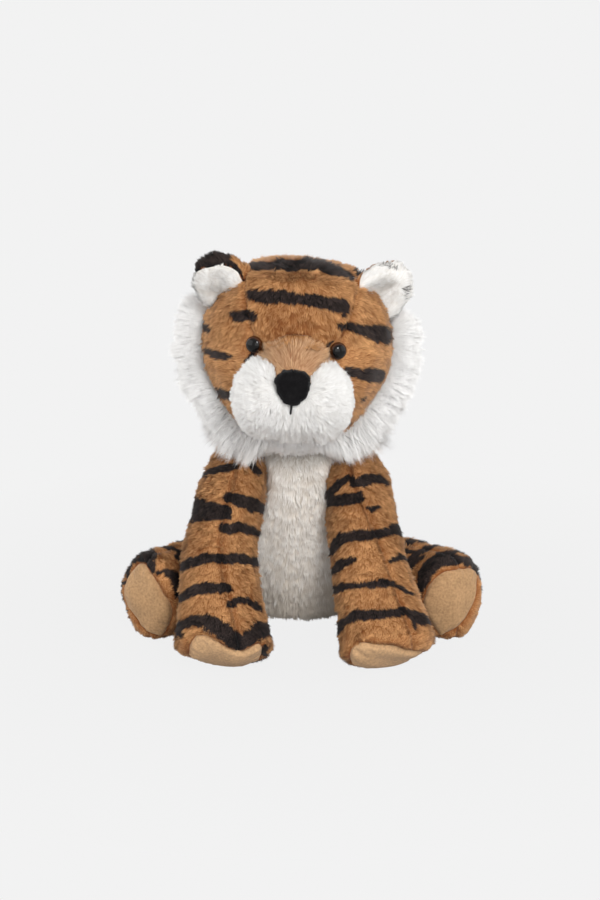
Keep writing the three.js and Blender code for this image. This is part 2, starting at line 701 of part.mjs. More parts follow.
const noseFront = new THREE.Vector3(0, -head.depth * 2, -nose.drop);
const noseSeat = seatOn(snoutSurface, noseFront, noseFront.clone().setY(0));
noseBlock.translate(0, noseSeat.point.y + nose.depth - nose.chamfer / 2, -nose.drop);
addHeadPiece("nose", solidOf(noseBlock).subtract(snoutGrown).subtract(headClear), "noseFlock");

// Mouth: one stitch of black thread, running down from the nose on the muzzle's surface

const mouthTop = -nose.drop - nose.height / 2 - seam;
const mouthPoints = mouthFall_shares.map((share) => {
  const from = new THREE.Vector3(0, -head.depth * 2, mouthTop - share * mouth.length);
  const seat = seatOn(snoutSurface, from, from.clone().setY(0));
  return seat.point.add(new THREE.Vector3(0, -mouth.thread / 2 - seam, 0));
});
const stitchSection = new THREE.Shape();
stitchSection.absarc(0, 0, mouth.thread / 2, 0, 2 * Math.PI);
const stitch = new THREE.ExtrudeGeometry(stitchSection, {
  extrudePath: new THREE.CatmullRomCurve3(mouthPoints),
  steps: facets.cap * 2,
  curveSegments: facets.cap,
});
addHeadPiece("mouth_thread", solidOf(stitch).subtract(snoutGrown), "thread");

// Ruff

const ruffStart = THREE.MathUtils.degToRad(ruffStart_deg);
const ruffPoints = [];
for (let step = 0; step <= facets.ruffRings; step += 1) {
  const share = step / facets.ruffRings;
  const angle = Math.PI - ruffStart + share * (Math.PI + ruffStart * 2);
  const low = Math.max(0, -Math.sin(angle));
  ruffPoints.push(new THREE.Vector3(
    (head.width / 2 + ruff.standOff) * Math.cos(angle),
    ruff.back - (ruff.back + ruff.chinForward) * low * low,
    (head.height / 2 + ruff.standOff - ruff.chinRise) * Math.sin(angle),
  ));
}
const ruffForm = stuffedForm({
  curve: new THREE.CatmullRomCurve3(ruffPoints),
  widths: ruffSize_shares.map((share) => share * ruff.depth),
  depths: ruffSize_shares.map((share) => share * ruff.thickness),
  across: unit.y,
  startDome: ruff.thickness / 2,
  endDome: ruff.thickness / 2,
  around: facets.filling,
  rings: facets.ruffRings,
});

// Ears: the back is pile fabric, the lining is white, and both are cut to turn on the head

let earRoom = null;
for (const [side, sign] of hands) {
  const across = head.width * earAcross_share;
  const base = new THREE.Vector3(sign * across, -ear.forward, head.height * earRise_share);
  const stand = new THREE.Matrix4().makeRotationY(THREE.MathUtils.degToRad(sign * earLean_deg));
  const fold = new THREE.Matrix4().makeRotationX(THREE.MathUtils.degToRad(earFold_deg[side]));
  const place = new THREE.Matrix4().setPosition(base).multiply(stand).multiply(fold);
  const hinge = unit.x.clone().transformDirection(stand);
  const blank = ellipsoid(new THREE.Vector3(0, 0, ear.reach), ear.width, ear.thickness, ear.height);
  const cup = (growth) => ellipsoid(
    new THREE.Vector3(0, -earCup.forward, earCup.reach),
    earCup.width + growth * 2, earCup.depth + growth * 2, earCup.height + growth * 2,
  );
  let headRoom = headSolids.grown;
  for (const degrees of [earFlop_deg.forward, -earFlop_deg.back]) {
    headRoom = headRoom.add(moved(headSolids.grown, turnAbout(base, hinge, -degrees)));
  }
  const lining = moved(blank.intersect(cup(earLining)).subtract(cup(0)), place).subtract(headRoom);
  const back = moved(blank.subtract(cup(earLining + seam)), place).subtract(headRoom);
  addHeadPiece(`ear_${side}_lining`, lining, "whiteFur");
  addHeadPiece(`ear_${side}_back`, back, "fur");
  const standing = moved(blank, place);
  for (const degrees of [earFlop_deg.forward, 0, -earFlop_deg.back]) {
    const pose = moved(standing, turnAbout(base, hinge, degrees));
    earRoom = earRoom ? earRoom.add(pose) : pose;
  }
}
addHeadPiece("ruff", solidOf(ruffForm).subtract(headClear).subtract(neckInHead).subtract(earRoom), "whiteFur");

export default toy;
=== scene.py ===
"""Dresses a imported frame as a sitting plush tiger: pile, ruff, pads, eyes, nose and a studio floor."""

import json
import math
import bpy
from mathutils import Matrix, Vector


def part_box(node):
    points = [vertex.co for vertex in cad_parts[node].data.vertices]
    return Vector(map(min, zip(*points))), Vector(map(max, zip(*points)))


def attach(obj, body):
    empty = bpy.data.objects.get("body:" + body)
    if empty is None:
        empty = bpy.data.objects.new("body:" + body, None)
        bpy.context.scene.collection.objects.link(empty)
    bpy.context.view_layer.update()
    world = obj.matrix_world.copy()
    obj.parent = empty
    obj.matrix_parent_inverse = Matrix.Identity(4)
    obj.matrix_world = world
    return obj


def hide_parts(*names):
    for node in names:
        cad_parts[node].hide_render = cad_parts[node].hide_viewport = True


bl_info = {
    "name": "Sitting plush tiger",
    "version": (1, 0, 0),
    "blender": (4, 5, 0),
    "location": "View3D > Sidebar > Tiger",
    "description": "Grows pile, sews on pads and sets the eyes of a sitting plush tiger",
    "category": "Object",
}

import bmesh
import bpy
import numpy as np
from mathutils import Vector
from mathutils.bvhtree import BVHTree
from mathutils.kdtree import KDTree

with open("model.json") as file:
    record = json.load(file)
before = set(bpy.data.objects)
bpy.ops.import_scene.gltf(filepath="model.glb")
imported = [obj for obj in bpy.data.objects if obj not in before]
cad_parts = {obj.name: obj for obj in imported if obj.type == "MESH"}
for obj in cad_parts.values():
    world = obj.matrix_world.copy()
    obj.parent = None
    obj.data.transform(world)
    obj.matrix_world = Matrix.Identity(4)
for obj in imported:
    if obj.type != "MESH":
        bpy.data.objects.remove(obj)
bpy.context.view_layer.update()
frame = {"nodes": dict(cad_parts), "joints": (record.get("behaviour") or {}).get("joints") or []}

MM = 0.001
UP = Vector((0, 0, 1))
FORWARD = Vector((0, -1, 0))
HANDS = (("left", -1), ("right", 1))
TORSO_NODES = ("belly_panel_left", "belly_panel_right", "back_panel_left", "back_panel_right")
HEAD_NODES = ("head_gusset", "head_side_left", "head_side_right")

# For each form, the size of its first mesh in millimetres and how often it is relaxed
FORM_CELLS = {
    "torso": (2.45, 6), "arm": (2.3, 6), "leg": (2.6, 6), "tail": (2.4, 4), "head": (2.4, 6), "muzzle": (1.6, 4),
    "bridge": (1.9, 3), "nose": (1.2, 3), "ear": (1.7, 3), "ruff": (1.56, 6), "filling": (3, 3), "neck": (3.2, 1),
}
PAD_SPREAD = 0.6 * MM  # how far the pads reach past their rims in the frame

# The photograph's camera: it looks along +Y and down, at a point a little above the seat
PHOTO_WIDTH = 600
PHOTO_HEIGHT = 900
CAMERA_TARGET = Vector((1, 0, 117.65)) * MM
CAMERA_DISTANCE = 1300 * MM
CAMERA_PITCH = math.radians(15)
PIXEL = 0.73 * MM  # what one pixel covers at the target
PIXEL_FOCAL = CAMERA_DISTANCE / PIXEL
CAMERA_AIM = Vector((0, math.cos(CAMERA_PITCH), -math.sin(CAMERA_PITCH)))
CAMERA_PLACE = CAMERA_TARGET - CAMERA_AIM * CAMERA_DISTANCE
CAMERA_RIGHT = Vector((1, 0, 0))
CAMERA_UP = CAMERA_RIGHT.cross(CAMERA_AIM)

# Stripes as lines drawn on the photograph: x, y and thickness, in pixels; the two marks by the eyes are painted
# shade
HEAD_STRIPES = {
    "crown": [
        (253, 268, 7), (260, 268, 8), (273, 268, 10), (290, 267, 11), (303, 267, 12), (315, 267, 11),
        (329, 270, 10), (340, 274, 9), (348, 277, 7), (351, 280, 4),
    ],
    "brow": [
        (250, 295, 10), (255, 296, 12), (268, 297, 14), (282, 297, 14), (301, 299, 12), (315, 301, 13),
        (329, 303, 14), (342, 306, 15), (347, 307, 12),
    ],
    "brow_end": [(347, 308, 9), (344, 316, 5)],
    "temple_left": [(229, 313, 4), (234, 316, 10), (243, 317, 11), (251, 316, 12)],
    "edge_left": [(202, 322, 5), (206, 328, 7)],
    "cheek_left": [(204, 349, 6), (212, 354, 10), (221, 356, 10), (230, 357, 4)],
    "jowl_left": [(216, 391, 6), (223, 395, 11), (234, 396, 11)],
    # painted shade at the lower corner of the left eye, drawn in the stripes' black
    "eye_shadow_left": [(249, 354, 5), (246, 359, 6), (245, 361, 4)],
    "temple_right": [(340, 326, 6), (351, 328, 9), (362, 330, 11), (373, 332, 16), (382, 333, 19), (389, 336, 16)],
    # painted shade by the upper inner rim of the right eye, drawn in the stripes' black
    "eye_shadow_right": [(329, 351, 5), (330, 347, 5), (335, 344, 4)],
    "cheek_right": [(347, 371, 8), (357, 373, 10), (368, 375, 13), (376, 376, 16), (380, 376, 14)],
    "jowl_right": [(363, 401, 4), (365, 398, 4)],
    "chin_right": [(347, 426, 4), (351, 422, 4)],
    "chin": [(311, 440, 4), (320, 441, 4)],
}
EAR_STRIPES = {
    "left": {
        "top": [
            (193, 268, 13), (197, 261, 17), (205, 257, 22), (215, 254, 25), (222, 256, 20), (229, 263, 9),
            (236, 268, 6), (241, 276, 4), (243, 284, 3),
        ],
    },
    "right": {"inner": [(352, 272, 6), (358, 269, 8), (365, 266, 6)]},
}
# Creases in the white of the ears, which lie in shade
EAR_FOLDS = {
    "left": {
        "flap": [(198, 291, 3), (205, 293, 4), (213, 294, 4), (222, 293, 3)],
        "under": [(197, 300, 8), (202, 306, 9), (203, 318, 8)],
    },
    "right": {
        "hollow": [(371, 299, 5), (377, 291, 7), (385, 286, 6), (393, 284, 3)],
        "inner": [(376, 300, 6), (381, 307, 4)],
    },
}
# Short dark flecks in the white of the right ear
EAR_FLECKS = {
    "left": {},
    "right": {
        name: [(x, y, 1.4), (x + run, y + fall, 1.0)] for name, x, y, run, fall in (
            ("top_1", 379, 261, 3, 3), ("top_2", 383, 261, 3, 4), ("top_3", 386, 263, 3, 3),
            ("top_4", 389, 263, 3, 5), ("top_5", 393, 265, 3, 4), ("top_6", 397, 267, 3, 4),
            ("edge_1", 405, 288, 5, -2), ("edge_2", 404, 291, 7, -2), ("edge_3", 405, 294, 4, -2),
            ("edge_4", 406, 298, 3, -1),
        )
    },
}
ARM_STRIPES = {
    "left": {
        "shoulder": [(206, 475, 5), (213, 472, 7), (222, 469, 8), (234, 467, 8)],
        "shoulder_inner": [(246, 458, 7), (252, 464, 8), (258, 473, 7)],
        "outer": [(192, 510, 27), (198, 510, 25), (211, 511, 19), (225, 513, 15)],
        "inner": [(228, 498, 10), (233, 499, 12), (242, 501, 14), (255, 506, 14), (264, 510, 10)],
        "inner_low": [(226, 529, 12), (235, 528, 11), (244, 528, 9), (253, 531, 9), (259, 534, 7)],
        "elbow": [
            (181, 567, 8), (192, 562, 11), (203, 559, 11), (213, 558, 9), (222, 560, 10), (235, 558, 11),
            (246, 560, 10), (258, 563, 9), (265, 565, 8),
        ],
        "wrist": [(181, 598, 8), (192, 591, 11), (203, 588, 12), (213, 588, 11), (228, 589, 9)],
        "wrist_inner": [(232, 605, 9), (233, 602, 7), (240, 600, 7), (248, 601, 7), (255, 605, 7), (261, 610, 5)],
        "paw": [
            (175, 630, 7), (183, 624, 9), (192, 621, 12), (203, 621, 15), (213, 626, 18), (224, 632, 19),
            (233, 640, 18), (240, 643, 16), (246, 641, 16), (253, 637, 18), (259, 631, 19), (266, 629, 15),
            (272, 631, 9),
        ],
        "paw_outer": [(181, 628, 7), (178, 637, 4)],
        "paw_inner": [(264, 655, 7), (270, 648, 6)],
    },
    "right": {
        "shoulder": [(355, 483, 11), (362, 482, 13), (371, 479, 10), (379, 479, 9), (386, 483, 6)],
        "inner_top": [(349, 478, 6), (340, 483, 8), (332, 491, 8), (325, 497, 9), (320, 504, 9)],
        "inner": [(319, 505, 9), (327, 502, 11), (336, 501, 12), (347, 500, 12), (357, 498, 11), (361, 500, 7)],
        "mark": [(367, 508, 4), (371, 510, 6), (378, 507, 4)],
        "elbow": [
            (332, 553, 7), (337, 543, 11), (342, 539, 12), (351, 536, 12), (364, 535, 11), (377, 535, 10),
            (386, 532, 10), (395, 529, 12), (402, 531, 12),
        ],
        "inner_low": [(335, 571, 8), (340, 565, 11), (349, 561, 8), (354, 560, 4)],
        "outer_low": [(390, 562, 4), (394, 560, 6), (399, 557, 7), (405, 559, 4)],
        "wrist": [
            (332, 592, 7), (339, 588, 9), (347, 587, 6), (356, 586, 6), (366, 585, 7), (377, 584, 9),
            (388, 583, 8), (395, 586, 5), (406, 591, 4), (413, 594, 3),
        ],
        "paw": [
            (336, 634, 5), (342, 624, 8), (349, 618, 9), (358, 615, 11), (369, 615, 11), (382, 614, 10),
            (395, 613, 9), (405, 612, 8), (414, 616, 12), (421, 619, 12), (428, 623, 5),
        ],
        "paw_low": [(414, 619, 7), (415, 629, 4)],
    },
}
LEG_STRIPES = {
    "left": {
        "ankle": [(137, 558, 7), (143, 555, 12), (150, 555, 13), (151, 563, 10), (153, 570, 5)],
        "inner": [(157, 572, 4), (164, 570, 5), (173, 574, 9), (178, 584, 10), (179, 596, 7)],
        "thigh": [(177, 556, 6), (184, 563, 8)],
    },
    "right": {
        "rim": [
            (418, 596, 8), (422, 583, 12), (427, 571, 14), (433, 563, 14), (442, 558, 14), (454, 557, 13),
            (464, 557, 9), (468, 562, 7), (475, 566, 6), (481, 563, 10),
        ],
        "sole": [(441, 642, 4), (450, 640, 5), (458, 636, 6)],
        "thigh": [(403, 550, 6), (412, 551, 5), (417, 554, 3)],
        "thigh_low": [(409, 567, 7), (416, 561, 6), (424, 556, 4)],
    },
}
# The seam down the front of each arm, as x and y
ARM_SEAMS = {
    "left": [(240, 455), (235, 475), (228, 500), (222, 525), (221, 560), (227, 590), (236, 625), (238, 650)],
    "right": [(350, 465), (352, 481), (367, 513), (376, 535), (389, 570), (399, 600), (413, 637)],
}
# The outline of each pad, as x and y
PAD_OUTLINES = {
    "arm_left": [
        (189, 655), (189, 648), (190, 643), (193, 637), (198, 635), (206, 636), (213, 640), (223, 646), (233, 650),
        (243, 651), (253, 647), (260, 643), (263, 648), (262, 658), (256, 668), (225, 680), (195, 672),
    ],
    "arm_right": [
        (349, 658), (350, 647), (356, 642), (366, 643), (378, 645), (392, 646), (402, 649), (412, 651), (428, 650),
        (425, 658), (414, 664), (400, 674), (370, 680), (350, 672),
    ],
    "leg_left": [
        (138, 562), (145, 564), (147, 568), (152, 575), (157, 582), (163, 594), (171, 604), (173, 613), (171, 623),
        (167, 634), (161, 638), (152, 635), (142, 628), (135, 619), (128, 610), (125, 601), (124, 590), (126, 578),
        (131, 568),
    ],
    "leg_right": [
        (421, 603), (426, 589), (435, 577), (445, 571), (457, 570), (469, 568), (477, 568), (478, 577), (475, 596),
        (471, 608), (464, 620), (455, 629), (445, 636), (438, 637), (432, 627), (425, 613),
    ],
}
# The upper edge of the bridge of the nose, as x and y
BRIDGE_EDGE = [(256, 356), (262, 346), (270, 342), (283, 340), (297, 339), (312, 341), (322, 345), (331, 355)]
# The bridge as a whole, as x and y
BRIDGE_OUTLINE = [
    (263, 346), (270, 343), (283, 341), (297, 340), (312, 342), (322, 345), (328, 352), (318, 362), (309, 373),
    (280, 373), (272, 362),
]
# Where the bridge spreads over the tops of the muzzle
BRIDGE_FLANKS = {
    "left": [(260, 350, 6), (269, 353, 10), (274, 361, 10), (279, 371, 7)],
    "right": [(326, 353, 5), (319, 359, 6), (313, 368, 5)],
}
# Where the white lining of each ear ends and its striped back starts, as x and y
EAR_EDGES = {
    "left": [
        (180, 287), (192, 275), (200, 270), (212, 267), (222, 265), (230, 267), (238, 272), (243, 283), (244, 292),
    ],
    "right": [(357, 310), (358, 296), (360, 280), (364, 270), (371, 263), (380, 257), (420, 240)],
}

# Stripes where the photograph doesn't reach: share along the piece, angles round it in degrees,
# thickness in millimetres and how far the stripe climbs on its way, in millimetres
BACK_STRIPES = [
    (0.16, 30, 115, 9, 6), (0.3, 8, 96, 10, 8), (0.43, 34, 118, 8, 4), (0.55, 6, 88, 10, 8),
    (0.68, 28, 120, 9, 4), (0.8, 5, 80, 9, 6), (0.93, 24, 110, 8, 2),
]
LEG_RINGS = [(0.3, -150, 60, 9, 5), (0.5, -60, 170, 8, -6), (0.68, -170, 40, 9, 4)]
NAPE_STRIPES = [
    (0.9, 20, 75, 9, 4), (0.78, 6, 70, 11, 6), (0.64, 22, 84, 9, 2), (0.5, 4, 66, 11, 6), (0.36, 20, 72, 9, 2),
]

# The studio: each fill lamp's name, place and size in metres, and its share of the fill power
FILL_LAMPS = (
    ("fill_left", (-1.65, -0.8, 0.6), 1.8, 1.15), ("fill_right", (1.7, -0.4, 0.6), 1.8, 0.9),
    ("fill_low", (0.3, -1.7, 0.2), 1.4, 0.8), ("fill_back", (-1.25, 1.15, 0.7), 1.6, 1.3),
)
KEY_PLACE = (0.4, -1.45, 1.0)
KEY_SIZE = 0.45
FLOOR_HALF = 6  # metres
FLOOR_PAPER = 0.45  # how pale the floor is to the light, next to the background
FLOOR_FADE = {"From Min": 0.15, "From Max": 0.4, "To Min": 0.95, "To Max": 1.0}  # the glow, from the toy outwards
SENSOR = 36  # millimetres


# Sizes and colours that a user would change

def srgb(red, green, blue):
    """A colour given from 0 to 255, as the linear values that Blender uses."""
    def linear(value):
        share = value / 255
        return share / 12.92 if share <= 0.04045 else ((share + 0.055) / 1.055) ** 2.4

    return (linear(red), linear(green), linear(blue))


def length_of(name, millimetres, description):
    """A property for a length."""
    return bpy.props.FloatProperty(
        name=name, default=millimetres * MM, min=0, unit="LENGTH", description=description,
    )


def colour_of(name, rgb, description):
    """A property for a colour."""
    return bpy.props.FloatVectorProperty(
        name=name, subtype="COLOR", size=3, min=0, max=1, default=srgb(*rgb), description=description,
    )


class TIGER_PG_pile(bpy.types.PropertyGroup):
    """How long the pile is and how fine its tufts are."""

    limb: length_of("Limb pile", 5.0, "Length of the pile on the arms and legs")
    body: length_of("Body pile", 5.5, "Length of the pile on the back")
    belly: length_of("Belly pile", 7.0, "Length of the cream pile on the belly")
    head: length_of("Head pile", 5.2, "Length of the pile on the head")
    bridge: length_of("Bridge pile", 8.0, "Length of the pile on the bridge of the nose")
    muzzle: length_of("Muzzle pile", 6.5, "Length of the white pile on the muzzle")
    ear: length_of("Ear pile", 4.5, "Length of the pile on the ears")
    ruff: length_of("Ruff pile", 26.0, "Length of the long pile of the ruff")
    flock: length_of("Nose flock", 1.9, "Length of the flock on the nose")
    seam: length_of("Seam depth", 2.0, "How far a seam pulls the cloth in")


class TIGER_PG_colours(bpy.types.PropertyGroup):
    """The colours of the cloths and fittings."""

    brown_root: colour_of("Brown root", (134, 80, 42), "Brown pile near the cloth")
    brown_tip: colour_of("Brown tip", (226, 170, 114), "Brown pile at its tips")
    stripe_root: colour_of("Stripe root", (8, 6, 8), "Black pile near the cloth")
    stripe_tip: colour_of("Stripe tip", (70, 58, 54), "Black pile at its tips")
    white_root: colour_of("White root", (224, 221, 216), "White pile near the cloth")
    white_tip: colour_of("White tip", (254, 253, 251), "White pile at its tips")
    # painted light: paler than the white root, to make up for the shade between the ruff's long locks
    ruff_root: colour_of("Ruff root", (243, 241, 238), "Long white pile near the cloth")
    lining_root: colour_of("Lining root", (226, 221, 214), "White pile of the ears near the cloth")
    cream_root: colour_of("Cream root", (210, 199, 185), "Belly pile near the cloth")
    cream_tip: colour_of("Cream tip", (252, 248, 242), "Belly pile at its tips")
    bridge_root: colour_of("Bridge root", (150, 100, 66), "Bridge pile near the cloth")
    bridge_tip: colour_of("Bridge tip", (214, 173, 132), "Bridge pile at its tips")
    suede: colour_of("Suede", (167, 132, 95), "Pads of the feet")
    # painted light: a paler copy of the suede for the paw pads, which makes up for the shade that falls on them
    paw_suede: colour_of("Paw suede", (184, 148, 110), "Pads of the paws, which are worn paler")
    nose: colour_of("Nose", (14, 12, 14), "Flock of the nose")
    eye_rim: colour_of("Eye rim", (72, 40, 20), "Outer ring of the eyes")
    eye_middle: colour_of("Eye middle", (8, 6, 6), "Middle of the eyes")
    fibre: colour_of("Fibre", (246, 246, 243), "Loose filling")
    pellets: colour_of("Pellets", (214, 208, 194), "Pellet bags")
    plastic: colour_of("Plastic", (228, 228, 222), "Washers behind the eyes")


class TIGER_PG_stage(bpy.types.PropertyGroup):
    """Floor and lamps."""

    background: colour_of("Background", (242, 242, 242), "Floor and backdrop as the camera sees them")
    key_power: bpy.props.FloatProperty(name="Key", default=13.0, min=0, description="Watts of the key lamp")
    fill_power: bpy.props.FloatProperty(name="Fill", default=13.0, min=0, description="Watts of each fill lamp")
    sky: bpy.props.FloatProperty(name="Sky", default=0.65, min=0, description="Strength of the even light")


# Meshes

def new_object(name, data):
    """An object for a mesh, a camera or a lamp, linked into the scene."""
    obj = bpy.data.objects.new(name, data)
    bpy.context.scene.collection.objects.link(obj)
    return obj


def mesh_object(name, bm):
    """An object made from a bmesh, which is used up."""
    mesh = bpy.data.meshes.new(name)
    bm.to_mesh(mesh)
    bm.free()
    return new_object(name, mesh)


def smooth_faces(mesh):
    """Shades every face smooth."""
    mesh.polygons.foreach_set("use_smooth", np.ones(len(mesh.polygons), bool))


def set_places(mesh, places):
    """Puts a mesh's vertices at new places."""
    mesh.vertices.foreach_set("co", places.astype(np.float32).ravel())
    mesh.update()


def numbers(items, name, width=1, kind=np.float32):
    """One attribute of many vertices, corners or faces as an array."""
    found = np.empty(len(items) * width, kind)
    items.foreach_get(name, found)
    return found.reshape(-1, width) if width > 1 else found


def node_bmesh(nodes):
    """Copies of frame nodes in one bmesh, with their loose corners merged."""
    bm = bmesh.new()
    for node in nodes:
        bm.from_mesh(frame["nodes"][node].data)
    bmesh.ops.remove_doubles(bm, verts=bm.verts, dist=0.01 * MM)
    return bm


def node_tree(nodes):
    """A search tree over frame nodes."""
    bm = node_bmesh(nodes)
    tree = BVHTree.FromBMesh(bm)
    bm.free()
    return tree


def tree_of(obj):
    """A search tree over an object's mesh."""
    bm = bmesh.new()
    bm.from_mesh(obj.data)
    tree = BVHTree.FromBMesh(bm)
    bm.free()
    return tree


def spot_tree(spots):
    """A search tree over single places."""
    tree = KDTree(len(spots))
    for row, spot in enumerate(spots):
        tree.insert(spot, row)
    tree.balance()
    return tree


def drop_islands(bm):
    """Deletes every loose part but the largest."""
    left = set(bm.faces)
    largest = []
    while left:
        first = left.pop()
        island, edge_of_search = [first], [first]
        while edge_of_search:
            face = edge_of_search.pop()
            for edge in face.edges:
                for other in edge.link_faces:
                    if other in left:
                        left.discard(other)
                        island.append(other)
                        edge_of_search.append(other)
        if len(island) > len(largest):
            largest = island
    kept = set(largest)
    stray = [face for face in bm.faces if face not in kept]
    bmesh.ops.delete(bm, geom=stray, context="FACES")


def evaluated(obj):
    """The object's mesh with its modifiers applied."""
    graph = bpy.context.evaluated_depsgraph_get()
    return bpy.data.meshes.new_from_object(obj.evaluated_get(graph))


def photo_spots(places):
    """Where the photograph's camera sees some places, in pixels."""
    offset = places - np.array(CAMERA_PLACE)
    depth = offset @ np.array(CAMERA_AIM)
    across = offset @ np.array(CAMERA_RIGHT) / depth * PIXEL_FOCAL
    above = offset @ np.array(CAMERA_UP) / depth * PIXEL_FOCAL
    return PHOTO_WIDTH / 2 + across, PHOTO_HEIGHT / 2 - above


def soft_form(name, nodes, kind):
    """One closed, smooth form that fills frame nodes: an even mesh, relaxed and made finer."""
    cell, relax = FORM_CELLS[kind]
    obj = mesh_object(name, node_bmesh(nodes))
    even = obj.modifiers.new("even", "REMESH")
    even.mode = "VOXEL"
    even.voxel_size = cell * MM
    relaxed = obj.modifiers.new("relaxed", "SMOOTH")
    relaxed.factor = 0.5
    relaxed.iterations = relax
    mesh = evaluated(obj)
    bm = bmesh.new()
    bm.from_mesh(mesh)
    drop_islands(bm)
    bm.to_mesh(mesh)
    bm.free()
    obj.modifiers.clear()
    obj.data = mesh
    if kind != "filling":
        finer = obj.modifiers.new("finer", "SUBSURF")
        finer.levels = finer.render_levels = 1
        mesh = evaluated(obj)
        obj.modifiers.clear()
        obj.data = mesh
    obj.data.materials.clear()
    return obj


def unit(vectors):
    """Rows scaled to length one."""
    size = np.linalg.norm(vectors, axis=1)[:, None]
    return vectors / np.maximum(size, 1e-9)


def ripple(points, size, seed, waves=7):
    """A smooth field of about -1 to 1, made of a few waves of one size."""
    rng = np.random.default_rng(seed)
    total = np.zeros(len(points))
    for _ in range(waves):
        heading = unit(rng.normal(size=(1, 3)))[0]
        stretch = rng.uniform(0.7, 1.5)
        total += np.sin(points @ heading * (2 * math.pi / size * stretch) + rng.uniform(0, 2 * math.pi))
    return total / math.sqrt(waves / 2) / 1.5


def bump_shape(distance, reach):
    """A soft bump: one at distance nothing, and nothing past its reach."""
    return np.exp(-((distance / reach) ** 2))


def ramp(values, start, reach):
    """Nothing up to a start, one from a reach beyond it on, and a straight rise between."""
    return np.clip((values - start) / reach, 0, 1)


def edge_share(inside, width):
    """One inside an edge, nothing outside it and half on it, over a width."""
    return np.clip(inside / width + 0.5, 0, 1)


def gap_to(places, point):
    """How far each place lies from a point."""
    return np.linalg.norm(places - np.array(point), axis=1)


def places_of(mesh):
    """Where a mesh's vertices are, and which way they face."""
    return numbers(mesh.vertices, "co", 3).astype(float), numbers(mesh.vertices, "normal", 3).astype(float)


def form_box(obj):
    """Lowest and highest corner of a mesh."""
    places, _ = places_of(obj.data)
    return Vector(places.min(0)), Vector(places.max(0))


def push(obj, depth_at):
    """Moves each vertex along its normal by what a function of places and normals says."""
    places, normals = places_of(obj.data)
    set_places(obj.data, places + normals * depth_at(places, normals)[:, None])


def near(tree, places, reach):
    """How far each place lies from a tree, up to a reach."""
    found = np.full(len(places), reach)
    for row, place in enumerate(places):
        _, _, _, distance = tree.find_nearest(place, reach)
        if distance is not None:
            found[row] = distance
    return found


# Stripes

def pixel_ray(x, y):
    """The direction in which the photograph's camera sees a pixel."""
    across = (x - PHOTO_WIDTH / 2) / PIXEL_FOCAL
    down = (y - PHOTO_HEIGHT / 2) / PIXEL_FOCAL
    return (CAMERA_AIM + CAMERA_RIGHT * across - CAMERA_UP * down).normalized()


def photo_line(tree, line):
    """Places on a form under a line of the photograph."""
    found = []
    for (x0, y0), (x1, y1) in zip(line, line[1:]):
        steps = max(2, round(math.hypot(x1 - x0, y1 - y0)))
        for step in range(steps + 1):
            share = step / steps
            hit, _, _, _ = tree.ray_cast(CAMERA_PLACE, pixel_ray(x0 + (x1 - x0) * share, y0 + (y1 - y0) * share))
            if hit is not None:
                found.append(hit)
    return found


def inside_drawn(places, table):
    """How far places lie inside the lines of a table in the picture, less than nothing outside them."""
    across, down = photo_spots(places)
    inside = np.full(len(places), -1.0)
    for line in table.values():
        for (x0, y0, w0), (x1, y1, w1) in zip(line, line[1:]):
            run, fall = x1 - x0, y1 - y0
            share = np.clip(((across - x0) * run + (down - y0) * fall) / (run * run + fall * fall), 0, 1)
            away = np.hypot(across - x0 - share * run, down - y0 - share * fall)
            inside = np.maximum(inside, ((w0 + (w1 - w0) * share) / 2 - away) * PIXEL)
    return inside


def inside_outline(places, outline):
    """Which places lie in a closed outline in the picture."""
    across, down = photo_spots(places)
    inside = np.zeros(len(places), bool)
    for (x0, y0), (x1, y1) in zip(outline, outline[1:] + outline[:1]):
        if y0 != y1:
            crossed = (down > min(y0, y1)) & (down <= max(y0, y1))
            inside ^= crossed & (across < x0 + (down - y0) * (x1 - x0) / (y1 - y0))
    return inside


def drawn(places, normals, flow, length, table, seed, rough=0.32 * MM):
    """How far the tip of each tuft lies in a table's stripes, from 0 to 1, with ragged edges."""
    tips = places + (normals * 0.35 + unit(flow(places)) * 0.45) * length
    ragged = (ripple(places, 7 * MM, seed) + 0.6 * ripple(places, 3 * MM, seed + 1)) * rough
    return edge_share(inside_drawn(tips, table) + ragged, 0.5 * MM)


def ahead(normals):
    """One where a form faces the photograph's camera, and nothing from its outline on."""
    return np.clip(-(normals @ np.array(CAMERA_AIM)) / 0.15 - 0.2, 0, 1)


def ring_line(tree, start, end, share, first, last, thickness, climb, up=UP):
    """Places on a form along an arc round the line from start to end, each with half its thickness."""
    axis = (end - start).normalized()
    zero = (up - axis * up.dot(axis)).normalized()
    side = axis.cross(zero)
    found = []
    steps = max(8, round(abs(last - first) / 3))
    for step in range(steps + 1):
        way = step / steps
        angle = math.radians(first + (last - first) * way)
        along = (way - 0.5) * climb * MM + thickness * 0.12 * MM * math.sin(way * 9 + share * 20)
        centre = start.lerp(end, share) + axis * along
        heading = zero * math.cos(angle) + side * math.sin(angle)
        hit, _, _, _ = tree.ray_cast(centre + heading * MM, heading)
        if hit is not None:
            found.append((hit, thickness * MM / 2 * min(1, 2.6 * math.sin(math.pi * way) ** 0.6 + 0.15)))
    return found


def back_lines(form, foot, top, table):
    """The stripes of a table on both halves of a form's back, in rings round the line from foot to top."""
    tree = tree_of(form)
    return [
        ring_line(tree, foot, top, share, 180 + sign * first, 180 + sign * last, thickness, climb, FORWARD)
        for share, first, last, thickness, climb in table for _, sign in HANDS
    ]


def striped(places, lines, seed):
    """How far each place lies in a stripe, from 0 to 1, with ragged edges."""
    spots = [spot for line in lines for spot in line]
    mask = np.zeros(len(places))
    if not spots:
        return mask
    tree = spot_tree([spot for spot, _ in spots])
    halves = np.array([half for _, half in spots])
    ragged = ripple(places, 7 * MM, seed) * 0.5 * MM + ripple(places, 3 * MM, seed + 1) * 0.3 * MM
    for row, place in enumerate(places):
        _, index, distance = tree.find(place)
        mask[row] = halves[index] - distance
    return edge_share(mask + ragged, 0.5 * MM)


